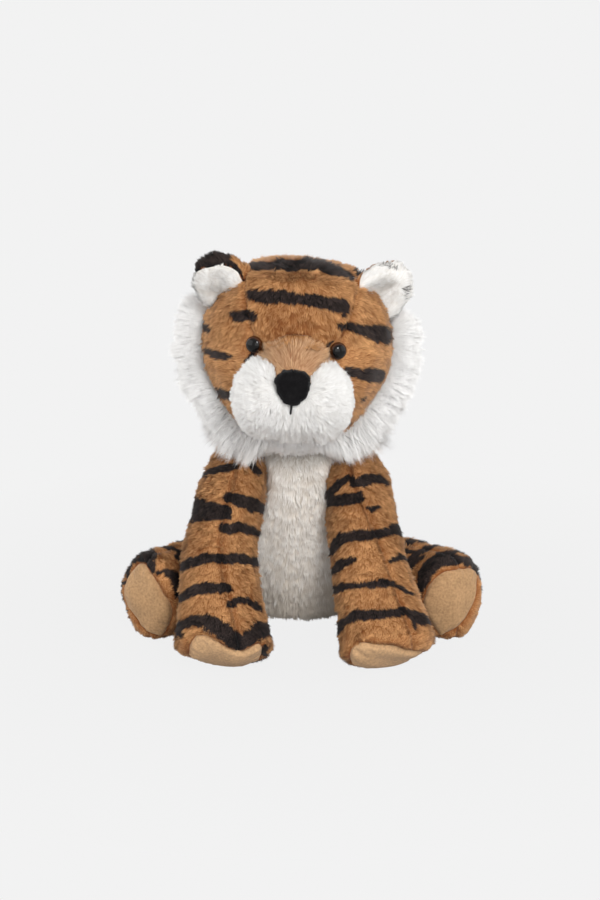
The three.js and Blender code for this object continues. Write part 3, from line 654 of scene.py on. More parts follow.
def folded_over(places, normals, centre, axis, away):
    """Places beyond a piece's middle plane, mirrored to the side that the camera sees."""
    across = away - axis * away.dot(axis)
    across = np.array(across.normalized())
    beyond = (places - np.array(centre)) @ across
    turned = np.where(beyond > 0, 2.0, 0.0) * (normals @ across)
    return places - 2 * np.maximum(beyond, 0)[:, None] * across, normals - turned[:, None] * across


# Pile

def bake_map(mesh):
    """A UV map with six fields, one for each way that a face can look."""
    layer = mesh.uv_layers.new(name="OFBake")
    places = numbers(mesh.vertices, "co", 3)
    low, size = places.min(0), np.maximum(np.ptp(places, axis=0), 1e-6)
    shares = (places - low) / size
    corner_vertex = numbers(mesh.loops, "vertex_index", kind=np.int32)
    face_of_corner = np.repeat(np.arange(len(mesh.polygons)), numbers(mesh.polygons, "loop_total", kind=np.int32))
    normal = numbers(mesh.polygons, "normal", 3)[face_of_corner]
    axis = np.abs(normal).argmax(1)
    outward = np.take_along_axis(normal, axis[:, None], 1)[:, 0] > 0
    spots = shares[corner_vertex]
    first = np.where(axis == 0, spots[:, 1], spots[:, 0])
    second = np.where(axis == 2, spots[:, 1], spots[:, 2])
    margin = 0.02
    uv = np.stack([
        (axis + margin + first * (1 - 2 * margin)) / 3,
        (outward + margin + second * (1 - 2 * margin)) / 2,
    ], 1)
    layer.data.foreach_set("uv", uv.astype(np.float32).ravel())


def set_numbers(mesh, name, values):
    """Keeps one number for each vertex."""
    attribute = mesh.attributes.get(name) or mesh.attributes.new(name, "FLOAT", "POINT")
    attribute.data.foreach_set("value", np.asarray(values, np.float32))


def find_locks(roots, share, rng):
    """The leading tuft of each tuft's lock, and how far away it stands."""
    count = max(1, int(len(roots) * share))
    leaders = rng.choice(len(roots), count, replace=False)
    tree = spot_tree(roots[leaders])
    found = [tree.find(root) for root in roots]
    return leaders[[row for _, row, _ in found]], np.array([away for _, _, away in found])


def grow_pile(obj, length, flow, lift=0.4, clump=0.3, curl=0.2, stripes=None, trim=None, bare=None, seams=None,
              painted_shade=None, lit=None, seed=1, clump_size=3.0 * MM, lock_share=0.09, even=0.65):
    """Turns every face of a form into a tuft.

    flow says which way the tufts lie at their roots, and curl how far they stray from it
    lift says how far they stand up, as a number or as a function of their roots and of the way out
    clump says how far the tips of a lock are drawn together, clump_size how far off its leader a tuft
    still is drawn, and lock_share how many of the tufts lead a lock
    stripes says how far each place lies in a stripe, and a painted shade function how much darker each tuft is
    painted, as shade that falls there trim says how much of the length is left, and bare which faces have no tuft
    seams is a search for the seams, where the tufts part and shorten, and are painted darker as shade in the seam
    even says how far the tufts are lit as the cloth under them, and lit which way that cloth seems to face
    """
    rng = np.random.default_rng(seed)
    mesh = obj.data
    bm = bmesh.new()
    bm.from_mesh(mesh)
    bmesh.ops.triangulate(bm, faces=bm.faces)
    flat_count = len(bm.verts)
    inside = bm.faces.layers.int.get("inside")
    hidden = np.array([face[inside] > 0 for face in bm.faces]) if inside else np.zeros(len(bm.faces), bool)
    if bare is not None:
        hidden |= bare(np.array([face.calc_center_median() for face in bm.faces]))
    growing = [face for face, skip in zip(bm.faces, hidden) if not skip]
    bmesh.ops.poke(bm, faces=growing, offset=0, center_mode="MEAN")
    if inside:
        bm.faces.layers.int.remove(inside)
    bm.to_mesh(mesh)
    bm.free()
    mesh.update()
    bake_map(mesh)
    places, normals = places_of(mesh)
    tips = np.arange(flat_count, len(places))
    roots, out = places[tips].copy(), normals[tips]
    leader, away = find_locks(roots, lock_share, rng)
    own, shared = rng.normal(size=(2, len(roots)))
    shared = shared[leader]
    swirl = np.stack([ripple(roots, 14 * MM, seed + k) for k in range(3)], 1)
    stray = rng.normal(size=roots.shape)
    lying = unit(flow(roots)) + curl * swirl + curl * 0.45 * stray + curl * 0.7 * stray[leader]
    sizes = length * rng.uniform(0.75, 1.05, len(roots))
    sizes *= 1 + 0.1 * ripple(roots, 12 * MM, seed + 6) + 0.06 * shared
    shades = 0.5 + 0.15 * shared + 0.1 * own
    if seams:
        spots, gap = seams(roots)
        lying += unit(roots - spots) * (0.8 * bump_shape(gap, 3.5 * MM))[:, None]
        sizes *= 1 - 0.45 * bump_shape(gap, 2.5 * MM)
        # painted shade along the seams
        shades -= 0.45 * bump_shape(gap, 1.6 * MM)
    if trim:
        sizes *= trim(roots)
    # painted shade: tufts darkened where shade falls
    if painted_shade:
        shades -= painted_shade(roots)
    lying = unit(lying - (lying * out).sum(1)[:, None] * out)
    standing = lift(roots, out) if callable(lift) else lift
    rise = np.clip(standing + 0.08 * ripple(roots, 9 * MM, seed + 5) + 0.05 * own + 0.05 * shared, 0.08, 1)
    heading = unit(lying * (1 - rise)[:, None] + out * rise[:, None])
    ends = roots + heading * np.maximum(sizes, 0.3 * MM)[:, None]
    pull = clump * np.clip(1 - away / clump_size, 0, 1)[:, None] ** 0.5
    ends = ends * (1 - pull) + ends[leader] * pull
    ends[:, 2] = np.maximum(ends[:, 2], 0.3 * MM)
    mask = stripes(places, normals) if stripes else np.zeros(len(places))
    places[tips] = ends
    if lit:
        normals = lit(normals)
    normals[tips] = unit(normals[tips] * even + heading * (1 - even))
    set_places(mesh, places)
    smooth_faces(mesh)
    tip = np.zeros(len(places))
    tip[tips] = 1
    shade = np.full(len(places), 0.5)
    shade[tips] = np.clip(shades, 0, 1)
    for name, values in (("stripe", mask), ("tip", tip), ("shade", shade)):
        set_numbers(mesh, name, values)
    mesh.update()
    mesh.normals_split_custom_set_from_vertices(normals.tolist())


# Materials

def node_of(tree, kind, place, **values):
    """A shader node with its settings."""
    node = tree.nodes.new(kind)
    node.location = place
    for name, value in values.items():
        setattr(node, name, value)
    return node


def feed(tree, node, values):
    """Sets a node's inputs, by name or number, or links them where the value is a socket."""
    for key, value in values.items():
        if isinstance(value, bpy.types.NodeSocket):
            tree.links.new(value, node.inputs[key])
        else:
            node.inputs[key].default_value = value
    return node


def mixed(tree, place, factor, first, second):
    """A mix of two colours."""
    node = node_of(tree, "ShaderNodeMix", place, data_type="RGBA")
    return feed(tree, node, {0: factor, 6: first, 7: second}).outputs[2]


def measured(tree, place, operation, first, second):
    """A sum, product or the like of two numbers."""
    return feed(tree, node_of(tree, "ShaderNodeMath", place, operation=operation), {0: first, 1: second}).outputs[0]


def clamped(tree, place, value):
    """A number kept between nothing and one."""
    return feed(tree, node_of(tree, "ShaderNodeClamp", place), {"Value": value}).outputs[0]


def noise_at(tree, place, scale, detail=2.0):
    """Noise on the object's own coordinates."""
    where = node_of(tree, "ShaderNodeTexCoord", (place[0] - 200, place[1]))
    noise = node_of(tree, "ShaderNodeTexNoise", place)
    return feed(tree, noise, {"Scale": scale, "Detail": detail, "Vector": where.outputs["Object"]}).outputs["Fac"]


def kept_number(tree, place, name):
    """A number that a mesh keeps for each of its vertices."""
    return node_of(tree, "ShaderNodeAttribute", place, attribute_name=name).outputs["Fac"]


def pile_group():
    """Colours of a pile: darker at the root, lighter at the tip, lock by lock, darker where shade is painted into
    each tuft's shade number, and striped where it says.
    """
    group = bpy.data.node_groups.new("pile_colour", "ShaderNodeTree")
    for name in ("Root", "Tip", "Stripe Root", "Stripe Tip"):
        group.interface.new_socket(name, in_out="INPUT", socket_type="NodeSocketColor")
    for name in ("Patches", "Locks"):
        group.interface.new_socket(name, in_out="INPUT", socket_type="NodeSocketFloat")
    group.interface.new_socket("Colour", in_out="OUTPUT", socket_type="NodeSocketColor")
    start, end = node_of(group, "NodeGroupInput", (-900, 0)), node_of(group, "NodeGroupOutput", (700, 0))
    tip = kept_number(group, (-900, -300), "tip")
    stripe = kept_number(group, (-900, -500), "stripe")
    # each tuft's lock tone, less the painted shade
    shade = kept_number(group, (-900, -700), "shade")
    patch = measured(group, (-500, -200), "SUBTRACT", noise_at(group, (-700, -200), 45.0), 0.5)
    patch = measured(group, (-350, -200), "MULTIPLY", patch, start.outputs["Patches"])
    lock = measured(group, (-500, -400), "SUBTRACT", shade, 0.5)
    lock = measured(group, (-350, -400), "MULTIPLY", lock, start.outputs["Locks"])
    level = measured(group, (-200, -300), "ADD", patch, lock)
    level = measured(group, (-50, -300), "ADD", level, measured(group, (-200, -500), "MULTIPLY", tip, 0.75))
    level = clamped(group, (100, -300), level)
    plain = mixed(group, (300, 200), level, start.outputs["Root"], start.outputs["Tip"])
    dark = mixed(group, (300, 0), level, start.outputs["Stripe Root"], start.outputs["Stripe Tip"])
    feed(group, end, {"Colour": mixed(group, (500, 100), stripe, plain, dark)})
    return group


def new_material(name, roughness, sheen, specular):
    """A material with its Principled shader."""
    material = bpy.data.materials.new(name)
    material.use_nodes = True
    shader = material.node_tree.nodes["Principled BSDF"]
    feed(material.node_tree, shader, {
        "Roughness": roughness, "Specular IOR Level": specular, "Sheen Weight": sheen, "Sheen Roughness": 0.5,
    })
    return material, material.node_tree, shader


def opaque(colour):
    """A colour with its alpha."""
    return (*colour, 1)


def pile_material(name, group, root, tip, stripe_root, stripe_tip, locks, sheen):
    """Pile whose tufts vary lock by lock."""
    material, tree, shader = new_material(name, 0.85, sheen, 0.15)
    pile = feed(tree, node_of(tree, "ShaderNodeGroup", (-300, 200), node_tree=group), {
        "Root": opaque(root), "Tip": opaque(tip), "Stripe Root": opaque(stripe_root),
        "Stripe Tip": opaque(stripe_tip), "Patches": 0.5, "Locks": locks,
    })
    feed(tree, shader, {"Base Color": pile.outputs["Colour"]})
    return material


def grained_material(name, colour, roughness, coarse, fine, depth, sheen, contrast):
    """Cloth or flock with a mottled colour and a fine nap."""
    material, tree, shader = new_material(name, roughness, sheen, 0.2)
    nap = noise_at(tree, (-900, 0), fine, 3.0)
    mottle = measured(tree, (-600, 300), "MULTIPLY", noise_at(tree, (-900, 300), coarse, 3.0), 0.8)
    grain = measured(tree, (-600, 0), "MULTIPLY", nap, 2.2)
    level = measured(tree, (-500, 200), "ADD", mottle, grain)
    level = clamped(tree, (-200, 200), measured(tree, (-400, 200), "SUBTRACT", level, 1.0))
    darker = opaque([value * (1 - contrast) for value in colour])
    lighter = opaque([min(1, value * (1 + contrast)) for value in colour])
    bump = node_of(tree, "ShaderNodeBump", (-200, -200))
    feed(tree, bump, {"Strength": 0.8, "Distance": depth, "Height": nap})
    feed(tree, shader, {"Base Color": mixed(tree, (0, 300), level, darker, lighter), "Normal": bump.outputs[0]})
    return material


def eye_material(colours):
    """Polished dark plastic with a brown ring under the gloss."""
    material, tree, shader = new_material("eye_gloss", 0.03, 0.0, 0.22)
    rim = kept_number(tree, (-500, 200), "rim")
    ringed = mixed(tree, (-200, 200), rim, opaque(colours.eye_middle), opaque(colours.eye_rim))
    feed(tree, shader, {"Base Color": ringed})
    return material


# Piles: the colours of the root and the tip, and those in a stripe, how much the locks differ, and the sheen
PILES = {
    "striped_pile": ("brown_root", "brown_tip", "stripe_root", "stripe_tip", 1.4, 0.1),
    "white_pile": ("white_root", "white_tip", "white_root", "white_tip", 1.0, 0.3),
    # painted light: the ruff's white is a paler copy of the white pile
    "ruff_white": ("ruff_root", "white_tip", "ruff_root", "white_tip", 1.0, 0.3),
    "ear_white": ("lining_root", "white_tip", "stripe_root", "stripe_tip", 1.2, 0.3),
    "belly_pile": ("cream_root", "cream_tip", "cream_root", "cream_tip", 1.4, 0.2),
    "bridge_pile": ("bridge_root", "bridge_tip", "brown_root", "brown_tip", 1.4, 0.1),
}
# Cloths and flocks: the colour, the roughness, how fine the mottle and the nap are, the nap's depth in
# millimetres, the sheen and the contrast
GRAINS = {
    "suede": ("suede", 0.92, 70.0, 620.0, 0.3, 0.1, 0.22),
    # painted light: the paw pads' suede is a paler copy of the feet's
    "paw_suede": ("paw_suede", 0.92, 70.0, 620.0, 0.3, 0.1, 0.22),
    "nose_flock": ("nose", 0.95, 200.0, 2500.0, 0.2, 0.1, 0.4),
    "thread": ("nose", 0.6, 300.0, 3000.0, 0.1, 0.1, 0.3),
    "washer": ("plastic", 0.45, 120.0, 900.0, 0.05, 0.0, 0.06),
    "fibre": ("fibre", 1.0, 120.0, 700.0, 0.6, 0.2, 0.08),
    "pellets": ("pellets", 0.8, 60.0, 420.0, 0.8, 0.1, 0.12),
}


def build_materials(colours):
    """Every material, by its name."""
    group = pile_group()
    made = {"eye": eye_material(colours)}
    for name, (*shades, locks, sheen) in PILES.items():
        made[name] = pile_material(name, group, *(getattr(colours, shade) for shade in shades), locks, sheen)
    for name, (shade, roughness, coarse, fine, depth, sheen, contrast) in GRAINS.items():
        colour = getattr(colours, shade)
        made[name] = grained_material(name, colour, roughness, coarse, fine, depth * MM, sheen, contrast)
    return made


MATERIALS = {}


def material_for(context, name):
    """A material, made the first time that one is needed."""
    if not MATERIALS:
        MATERIALS.update(build_materials(context.scene.tiger_colours))
    return MATERIALS[name]


def finish_piece(context, obj, body, slot, nodes, material=None):
    """Gives a piece its material and its place in the frame."""
    obj.data.materials.clear()
    obj.data.materials.append(material_for(context, material or slot))
    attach(obj, body)
    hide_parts(*nodes)


# Sub-parts

def centre_of(node):
    """The middle of a node's box."""
    low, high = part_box(node)
    return (low + high) / 2


def joint_place(name):
    """Where a joint turns."""
    return next(Vector(joint["pos_m"]) for joint in frame["joints"] if joint["name"] == name)


def along(direction):
    """A flow that runs one way everywhere."""
    way = np.array(direction.normalized())
    return lambda places: np.tile(way, (len(places), 1))


def away_from(point):
    """A flow that runs away from a point."""
    return lambda places: unit(places - np.array(point))


def seam_pull(distance, depth, reach=1.8 * MM):
    """How far a seam pulls the cloth in at a distance from it."""
    return -depth * bump_shape(distance, reach)


def face_centres(mesh):
    """The middle of each face."""
    return numbers(mesh.polygons, "center", 3).astype(float)


def nearest_node(places, nodes):
    """Which of some frame nodes each place lies nearest to."""
    return np.argmin(np.stack([near(node_tree((node,)), places, 40 * MM) for node in nodes]), axis=0)


def nearest_spot(spots):
    """A search for the nearest of some spots: it gives that spot and how far it is."""
    tree = spot_tree(spots)

    def search(places):
        found = [tree.find(place) for place in places]
        return np.array([spot for spot, _, _ in found]), np.array([away for _, _, away in found])

    return search


def seams_of(form, labels):
    """A search for the seams of a form: the edges where panels meet."""
    owners = {}
    spots = []
    mesh = form.data
    for face in mesh.polygons:
        for edge in face.edge_keys:
            if edge in owners and owners[edge] != labels[face.index]:
                spots.append((mesh.vertices[edge[0]].co + mesh.vertices[edge[1]].co) / 2)
            owners[edge] = labels[face.index]
    return nearest_spot(spots)


def even_seams(form, labels, passes=8):
    """Draws the stepped edges between panels out into smooth lines on the form."""
    bm = bmesh.new()
    bm.from_mesh(form.data)
    bm.faces.ensure_lookup_table()
    tree = BVHTree.FromBMesh(bm)
    beside = {}
    for edge in bm.edges:
        if len({labels[face.index] for face in edge.link_faces}) > 1:
            for vert in edge.verts:
                beside.setdefault(vert, []).append(edge.other_vert(vert))
    ring = {other for vert in beside for face in vert.link_faces for other in face.verts} - set(beside)
    for _ in range(passes):
        moved = {
            vert: sum((other.co for other in others), Vector()) / len(others) for vert, others in beside.items()
        }
        for vert, place in moved.items():
            vert.co = tree.find_nearest(vert.co.lerp(place, 0.5))[0]
        bmesh.ops.smooth_vert(bm, verts=list(ring), factor=0.4, use_axis_x=True, use_axis_y=True, use_axis_z=True)
    bm.to_mesh(form.data)
    bm.free()


def sew_panel(form, labels, label, name, thickness, cuts=0):
    """One panel of a form as a closed piece of cloth, with an inside that grows no pile."""
    bm = bmesh.new()
    bm.from_mesh(form.data)
    stray = [face for face, own in zip(bm.faces, labels) if own != label]
    bmesh.ops.delete(bm, geom=stray, context="FACES")
    drop_islands(bm)
    if cuts:
        bmesh.ops.subdivide_edges(bm, edges=bm.edges[:], cuts=cuts, use_grid_fill=True)
        inner = [vert for vert in bm.verts if not vert.is_boundary]
        bmesh.ops.smooth_vert(bm, verts=inner, factor=0.5, use_axis_x=True, use_axis_y=True, use_axis_z=True)
    inward = bm.verts.layers.float_vector.new("inward")
    inside = bm.faces.layers.int.new("inside")
    bm.normal_update()
    for vert in bm.verts:
        vert[inward] = -vert.normal
    outer = set(bm.faces)
    made = bmesh.ops.extrude_face_region(bm, geom=bm.faces[:], use_keep_orig=True)["geom"]
    verts = [item for item in made if isinstance(item, bmesh.types.BMVert)]
    for vert in verts:
        vert.co += vert[inward] * thickness
    for face in bm.faces:
        face[inside] = int(face not in outer)
    bmesh.ops.recalc_face_normals(bm, faces=bm.faces[:])
    own = set(verts)
    lining = [vert for vert in verts if all(edge.other_vert(vert) in own for edge in vert.link_edges)]
    edges = list(dict.fromkeys(edge for vert in lining for edge in vert.link_edges))  # one order in every run
    bmesh.ops.dissolve_limit(
        bm, angle_limit=math.radians(9), use_dissolve_boundaries=False, verts=lining, edges=edges, delimit=set(),
    )
    panel = mesh_object(name, bm)
    panel.data.attributes.remove(panel.data.attributes["inward"])
    return panel


def discard(obj):
    """Removes a form that its panels have taken the place of."""
    mesh = obj.data
    bpy.data.objects.remove(obj)
    bpy.data.meshes.remove(mesh)


class TIGER_OT_torso(bpy.types.Operator):
    """Makes the back and the belly from the torso's panels."""

    bl_idname = "tiger.torso"
    bl_label = "Torso"

    def execute(self, context):
        pile = context.scene.tiger_pile
        form = soft_form("torso_form", TORSO_NODES + ("torso_filling", "seat_pellet_bag"), "torso")
        labels = nearest_node(face_centres(form.data), TORSO_NODES)
        even_seams(form, labels)
        seams = seams_of(form, labels)
        low, high = form_box(form)

        def shape(places, normals):
            pulled = seam_pull(seams(places)[1], pile.seam * 0.5)
            return 0.4 * MM + pulled + ripple(places, 46 * MM, 3) * 0.7 * MM

        push(form, shape)
        lines = back_lines(form, Vector((0, 0, low.z)), Vector((0, 0, high.z)), BACK_STRIPES)
        for label, node in enumerate(TORSO_NODES):
            panel = sew_panel(form, labels, label, f"{node}_pile", 1.8 * MM)
            if node.startswith("belly"):
                grow_pile(
                    panel, pile.belly, along(Vector((0, -0.1, -1))), lift=0.34, clump=0.35, curl=0.2,
                    clump_size=2.5 * MM, lock_share=0.12, seed=12 + label, even=0.7,
                    lit=lambda normals: unit(normals * 0.8 + np.array((0, -0.32, 0.25))),
                    trim=lambda roots: 1 + 0.4 * ramp(roots[:, 2], 120 * MM, 25 * MM),
                    # painted shade: the belly pile darkens towards the floor
                    painted_shade=lambda roots: 0.9 * (1 - ramp(roots[:, 2], 0, 56 * MM)),
                )
                finish_piece(context, panel, "torso", "belly_pile", (node,))
            else:
                grow_pile(
                    panel, pile.body, along(Vector((0, 0.15, -1))), seams=seams, seed=12 + label,
                    stripes=lambda places, normals: striped(places, lines, 21),
                )
                finish_piece(context, panel, "torso", "striped_pile", (node,))
        discard(form)
        return {"FINISHED"}


class TIGER_OT_limbs(bpy.types.Operator):
    """Makes the arms and the legs with their pads."""

    bl_idname = "tiger.limbs"
    bl_label = "Arms and legs"

    def execute(self, context):
        pile = context.scene.tiger_pile
        torso_tree = node_tree(TORSO_NODES)
        seed = 30
        for kind, turn, tables in (("arm", "lift", ARM_STRIPES), ("leg", "spread", LEG_STRIPES)):
            for side, sign in HANDS:
                seed += 10
                root = joint_place(f"{kind}_{side}_{turn}")
                make_limb(context, f"{kind}_{side}", root, tables[side], sign, pile, torso_tree, seed)
        return {"FINISHED"}


def cap_plane(node, outward):
    """The middle of a cap, the way that it faces, and where its rim lies along that way."""
    places, _ = places_of(frame["nodes"][node].data)
    places = np.unique(places.round(6), axis=0)
    middle = places.mean(0)
    spread, ways = np.linalg.eigh(np.cov((places - middle).T))
    facing = ways[:, 0] * np.sign(ways[:, 0] @ np.array(outward))
    return middle, facing, ((places - middle) @ facing).min()


def settle_limb(obj, name):
    """Moves a limb's form to how it sits in the photograph: a bowed arm, slimmer shoulders, a foot further out."""
    places, _ = places_of(obj.data)
    across, height = places[:, 0].copy(), places[:, 2]
    if name == "arm_left":
        across -= 8 * MM * bump_shape(height - 66 * MM, 34 * MM)
        across += 8 * MM * ramp(-across, 40 * MM, 16 * MM) * bump_shape(height - 136 * MM, 18 * MM)
    elif name == "arm_right":
        across -= 14 * MM * ramp(across, 34 * MM, 24 * MM) * bump_shape(height - 134 * MM, 20 * MM)
    elif name == "leg_right":
        across += 4 * MM * ramp(across, 75 * MM, 30 * MM)
    places[:, 0] = across
    set_places(obj.data, places)


def make_limb(context, name, root, table, sign, pile, torso_tree, seed):
    """One limb: a stuffed tube of two panels, and the suede pad over its end."""
    kind, side = name.split("_")
    nodes = [f"{name}_{part}" for part in ("outer_panel", "inner_panel", "pad", "filling", "pellet_bag")]
    axis = (centre_of(nodes[2]) - root).normalized()
    form = soft_form(f"{name}_form", nodes, kind)
    middle, facing, rim = cap_plane(nodes[2], axis)

    def beyond_rim(places):
        """How far places lie beyond the plane of the pad's rim."""
        return (places - middle) @ facing - rim + PAD_SPREAD

    labels = nearest_node(face_centres(form.data), nodes[:2])
    settle_limb(form, name)
    centres = face_centres(form.data)
    if kind == "arm":
        spots = level_spots(centres, photo_line(tree_of(form), ARM_SEAMS[side]), root, axis)
        labels = ((centres - spots)[:, 0] * sign < 0).astype(int)
    labels[pad_faces(form, centres, beyond_rim(centres), PAD_OUTLINES[name])] = 2
    even_seams(form, labels)
    seams = seams_of(form, labels)

    def shape(places, normals):
        pulled = seam_pull(seams(places)[1], pile.seam)
        puffed = ramp(beyond_rim(places), 0, 6 * MM) * 1.4 * MM
        return 0.5 * MM + pulled + puffed + ripple(places, 30 * MM, seed) * 0.6 * MM

    push(form, shape)

    def buried(places):
        """Places that lie against the torso, where the limb is sewn on."""
        inner = [
            (Vector(place) - root).length < 24 * MM and (torso_tree.find_nearest(place, 14 * MM)[3] or 1) < 1.2 * MM
            for place in places
        ]
        return np.array(inner)

    def flow(places):
        """Down the limb, and outwards round the rim of the pad."""
        rim_share = ramp(beyond_rim(places), -9 * MM, 9 * MM)[:, None]
        radial = places - middle
        radial = unit(radial - (radial @ facing)[:, None] * facing)
        return np.array(axis) * (1 - rim_share) + (radial - facing * 0.2) * rim_share

    tree = tree_of(form)
    rings = [
        ring_line(tree, root, Vector(middle), share, sign * first, sign * last, thickness, climb)
        for share, first, last, thickness, climb in LEG_RINGS if kind == "leg"
    ]

    def stripes(places, normals):
        seen = folded_over(places, normals, root, axis, CAMERA_AIM)
        return np.maximum(drawn(*seen, flow, pile.limb, table, seed + 1), striped(places, rings, seed + 1))

    def trim(roots):
        """Short next to the pad and where the limb lies on the floor."""
        by_pad = ramp(-beyond_rim(roots), 0, 8 * MM) * 0.5 + 0.5
        by_floor = ramp(roots[:, 2], 0, 9 * MM) * 0.55 + 0.45
        return np.minimum(by_pad, by_floor)

    for label, node in enumerate(nodes[:2]):
        panel = sew_panel(form, labels, label, f"{node}_pile", 1.8 * MM)
        grow_pile(
            panel, pile.limb, flow, bare=buried, stripes=stripes, seams=seams, seed=seed + 2 + label, trim=trim,
        )
        finish_piece(context, panel, name, "striped_pile", (node,))
    pad = sew_panel(form, labels, 2, f"{name}_pad_suede", 1.6 * MM, cuts=1)
    pucker_pad(pad, facing, middle, seed)
    # the paws take the paler suede, as painted light
    material = "suede" if kind == "leg" else "paw_suede"
    finish_piece(context, pad, name, "suede", nodes[2:3], material=material)
    discard(form)


def pad_faces(form, centres, beyond, outline):
    """Which faces a pad covers: those in its outline in the photograph, and out of sight those past its rim."""
    normals = numbers(form.data.polygons, "normal", 3).astype(float)
    inside = inside_outline(centres, outline) & (beyond > -16 * MM)
    return np.where(normals @ np.array(CAMERA_AIM) < -0.1, inside, beyond > 0)


def level_spots(places, line, root, axis):
    """For each place, the spot of a seam line that is level with it along an axis."""
    spots = np.array(line)
    levels = (spots - np.array(root)) @ np.array(axis)
    order = np.argsort(levels)
    own = (places - np.array(root)) @ np.array(axis)
    return np.stack([np.interp(own, levels[order], spots[order, part]) for part in range(3)], 1)


def pucker_pad(pad, facing, middle, seed):
    """Ripples a pad a little and draws pleats in from its rim."""
    first = unit(np.cross(facing, [[0.3, 0.2, 1.0]]))[0]
    second = np.cross(facing, first)
    places, _ = places_of(pad.data)
    aside = places - middle
    reach = np.hypot(aside @ first, aside @ second).max()

    def shape(places, normals):
        offset = places - middle
        across, along_it = offset @ first, offset @ second
        share = np.hypot(across, along_it) / reach
        angle = np.arctan2(along_it, across)
        waves = np.cos(angle * 13 + 2.2 * np.sin(angle * 2 + seed)) + 0.6 * np.cos(angle * 23 + seed)
        pleats = waves * np.clip(share - 0.6, 0, 1) ** 1.1 * 2.2 * MM
        return np.clip(normals @ facing, 0, 1) * (pleats + ripple(places, 22 * MM, seed) * 0.45 * MM)

    push(pad, shape)
    pad.data.attributes.remove(pad.data.attributes["inside"])
    smooth_faces(pad.data)


class TIGER_OT_tail(bpy.types.Operator):
    """Makes the tail with its rings."""

    bl_idname = "tiger.tail"
    bl_label = "Tail"

    def execute(self, context):
        pile = context.scene.tiger_pile
        root = joint_place("tail_swing")
        form = soft_form("tail_pile", ("tail_skin", "tail_filling"), "tail")
        push(form, lambda places, normals: 0.5 * MM + ripple(places, 26 * MM, 71) * 0.4 * MM)

        def stripes(places, normals):
            away = gap_to(places, root) + ripple(places, 12 * MM, 72) * 1.2 * MM
            wave = np.sin(away / (15 * MM) * 2 * math.pi)
            return np.clip(np.maximum((wave - 0.15) * 3, (away - 96 * MM) / (3 * MM)), 0, 1)

        grow_pile(form, pile.limb, away_from(root), stripes=stripes, seed=73)
        finish_piece(context, form, "tail", "striped_pile", ("tail_skin",))
        return {"FINISHED"}


class TIGER_OT_head(bpy.types.Operator):
    """Makes the head from its gusset and sides."""

    bl_idname = "tiger.head"
    bl_label = "Head"

    def execute(self, context):
        pile = context.scene.tiger_pile
        form = soft_form("head_form", HEAD_NODES + ("head_filling",), "head")
        labels = nearest_node(face_centres(form.data), HEAD_NODES)
        even_seams(form, labels)
        seams = seams_of(form, labels)
        low, high = form_box(form)
        middle = (low + high) / 2
        eyes = [np.array(centre_of(f"eye_{side}")) for side, _ in HANDS]
        by_ears = [np.array((sign * 43, -40, 250)) * MM for _, sign in HANDS]
        nose = np.array(centre_of("nose"))
        brow = min(eye[2] for eye in eyes) + 2 * MM
        snout = node_tree(("muzzle", "nose_bridge"))

        def shape(places, normals):
            pulled = seam_pull(seams(places)[1], pile.seam * 0.9, 2.0 * MM)
            sockets = sum(seam_pull(gap_to(places, eye), 1.6 * MM, 8 * MM) for eye in eyes)
            corners = sum(seam_pull(gap_to(places, corner), 6 * MM, 12 * MM) for corner in by_ears)
            return 0.5 * MM + pulled + sockets + corners + ripple(places, 40 * MM, 81) * 0.6 * MM

        push(form, shape)

        def flow(places):
            """Down the forehead and the nape, and away from the nose over the cheeks."""
            offset = places - np.array(middle)
            backwards = np.clip(offset[:, 1] / (30 * MM), -1, 1) * 0.7
            down = np.stack([offset[:, 0] / (70 * MM), backwards, np.full(len(places), -1.0)], 1)
            below = np.clip((brow - places[:, 2]) / (16 * MM) + 0.4, 0, 1) * ramp(-offset[:, 1], 0, 30 * MM)
            return unit(down) * (1 - below)[:, None] + unit(places - nose) * below[:, None]

        foot, top = Vector((middle.x, middle.y, low.z)), Vector((middle.x, middle.y, high.z))
        lines = back_lines(form, foot, top, NAPE_STRIPES)

        def trim(roots):
            clear = np.minimum(*(gap_to(roots, eye) for eye in eyes))
            return np.clip((clear - 7 * MM) / (7 * MM), 0.12, 1)

        def painted_shade(roots):
            """Painted shade: the forehead darkens towards the bridge, where its pile meets the bridge's."""
            across, down = photo_spots(roots)
            middle_of_brow = np.hypot((across - 295) / 38, (down - 328) / 20)
            return 0.42 * bump_shape(middle_of_brow, 1.0) * ramp(middle.y - roots[:, 1], 0, 20 * MM)

        def stripes(places, normals):
            front = drawn(places, normals, flow, pile.head, HEAD_STRIPES, 83) * ahead(normals)
            return np.maximum(front, striped(places, lines, 83))

        def bare(places):
            """Under the snout, and under what the photograph shows of the bridge."""
            bridged = inside_outline(places, BRIDGE_OUTLINE) & (places[:, 1] < eyes[0][1] + 12 * MM)
            return (near(snout, places, 6 * MM) < 1.2 * MM) | bridged

        for label, node in enumerate(HEAD_NODES):
            panel = sew_panel(form, labels, label, f"{node}_pile", 1.6 * MM)
            grow_pile(
                panel, pile.head, flow, seams=seams, seed=82 + label, trim=trim, stripes=stripes, painted_shade=painted_shade,
                bare=bare,
            )
            finish_piece(context, panel, "head", "striped_pile", (node,))
        discard(form)
        return {"FINISHED"}


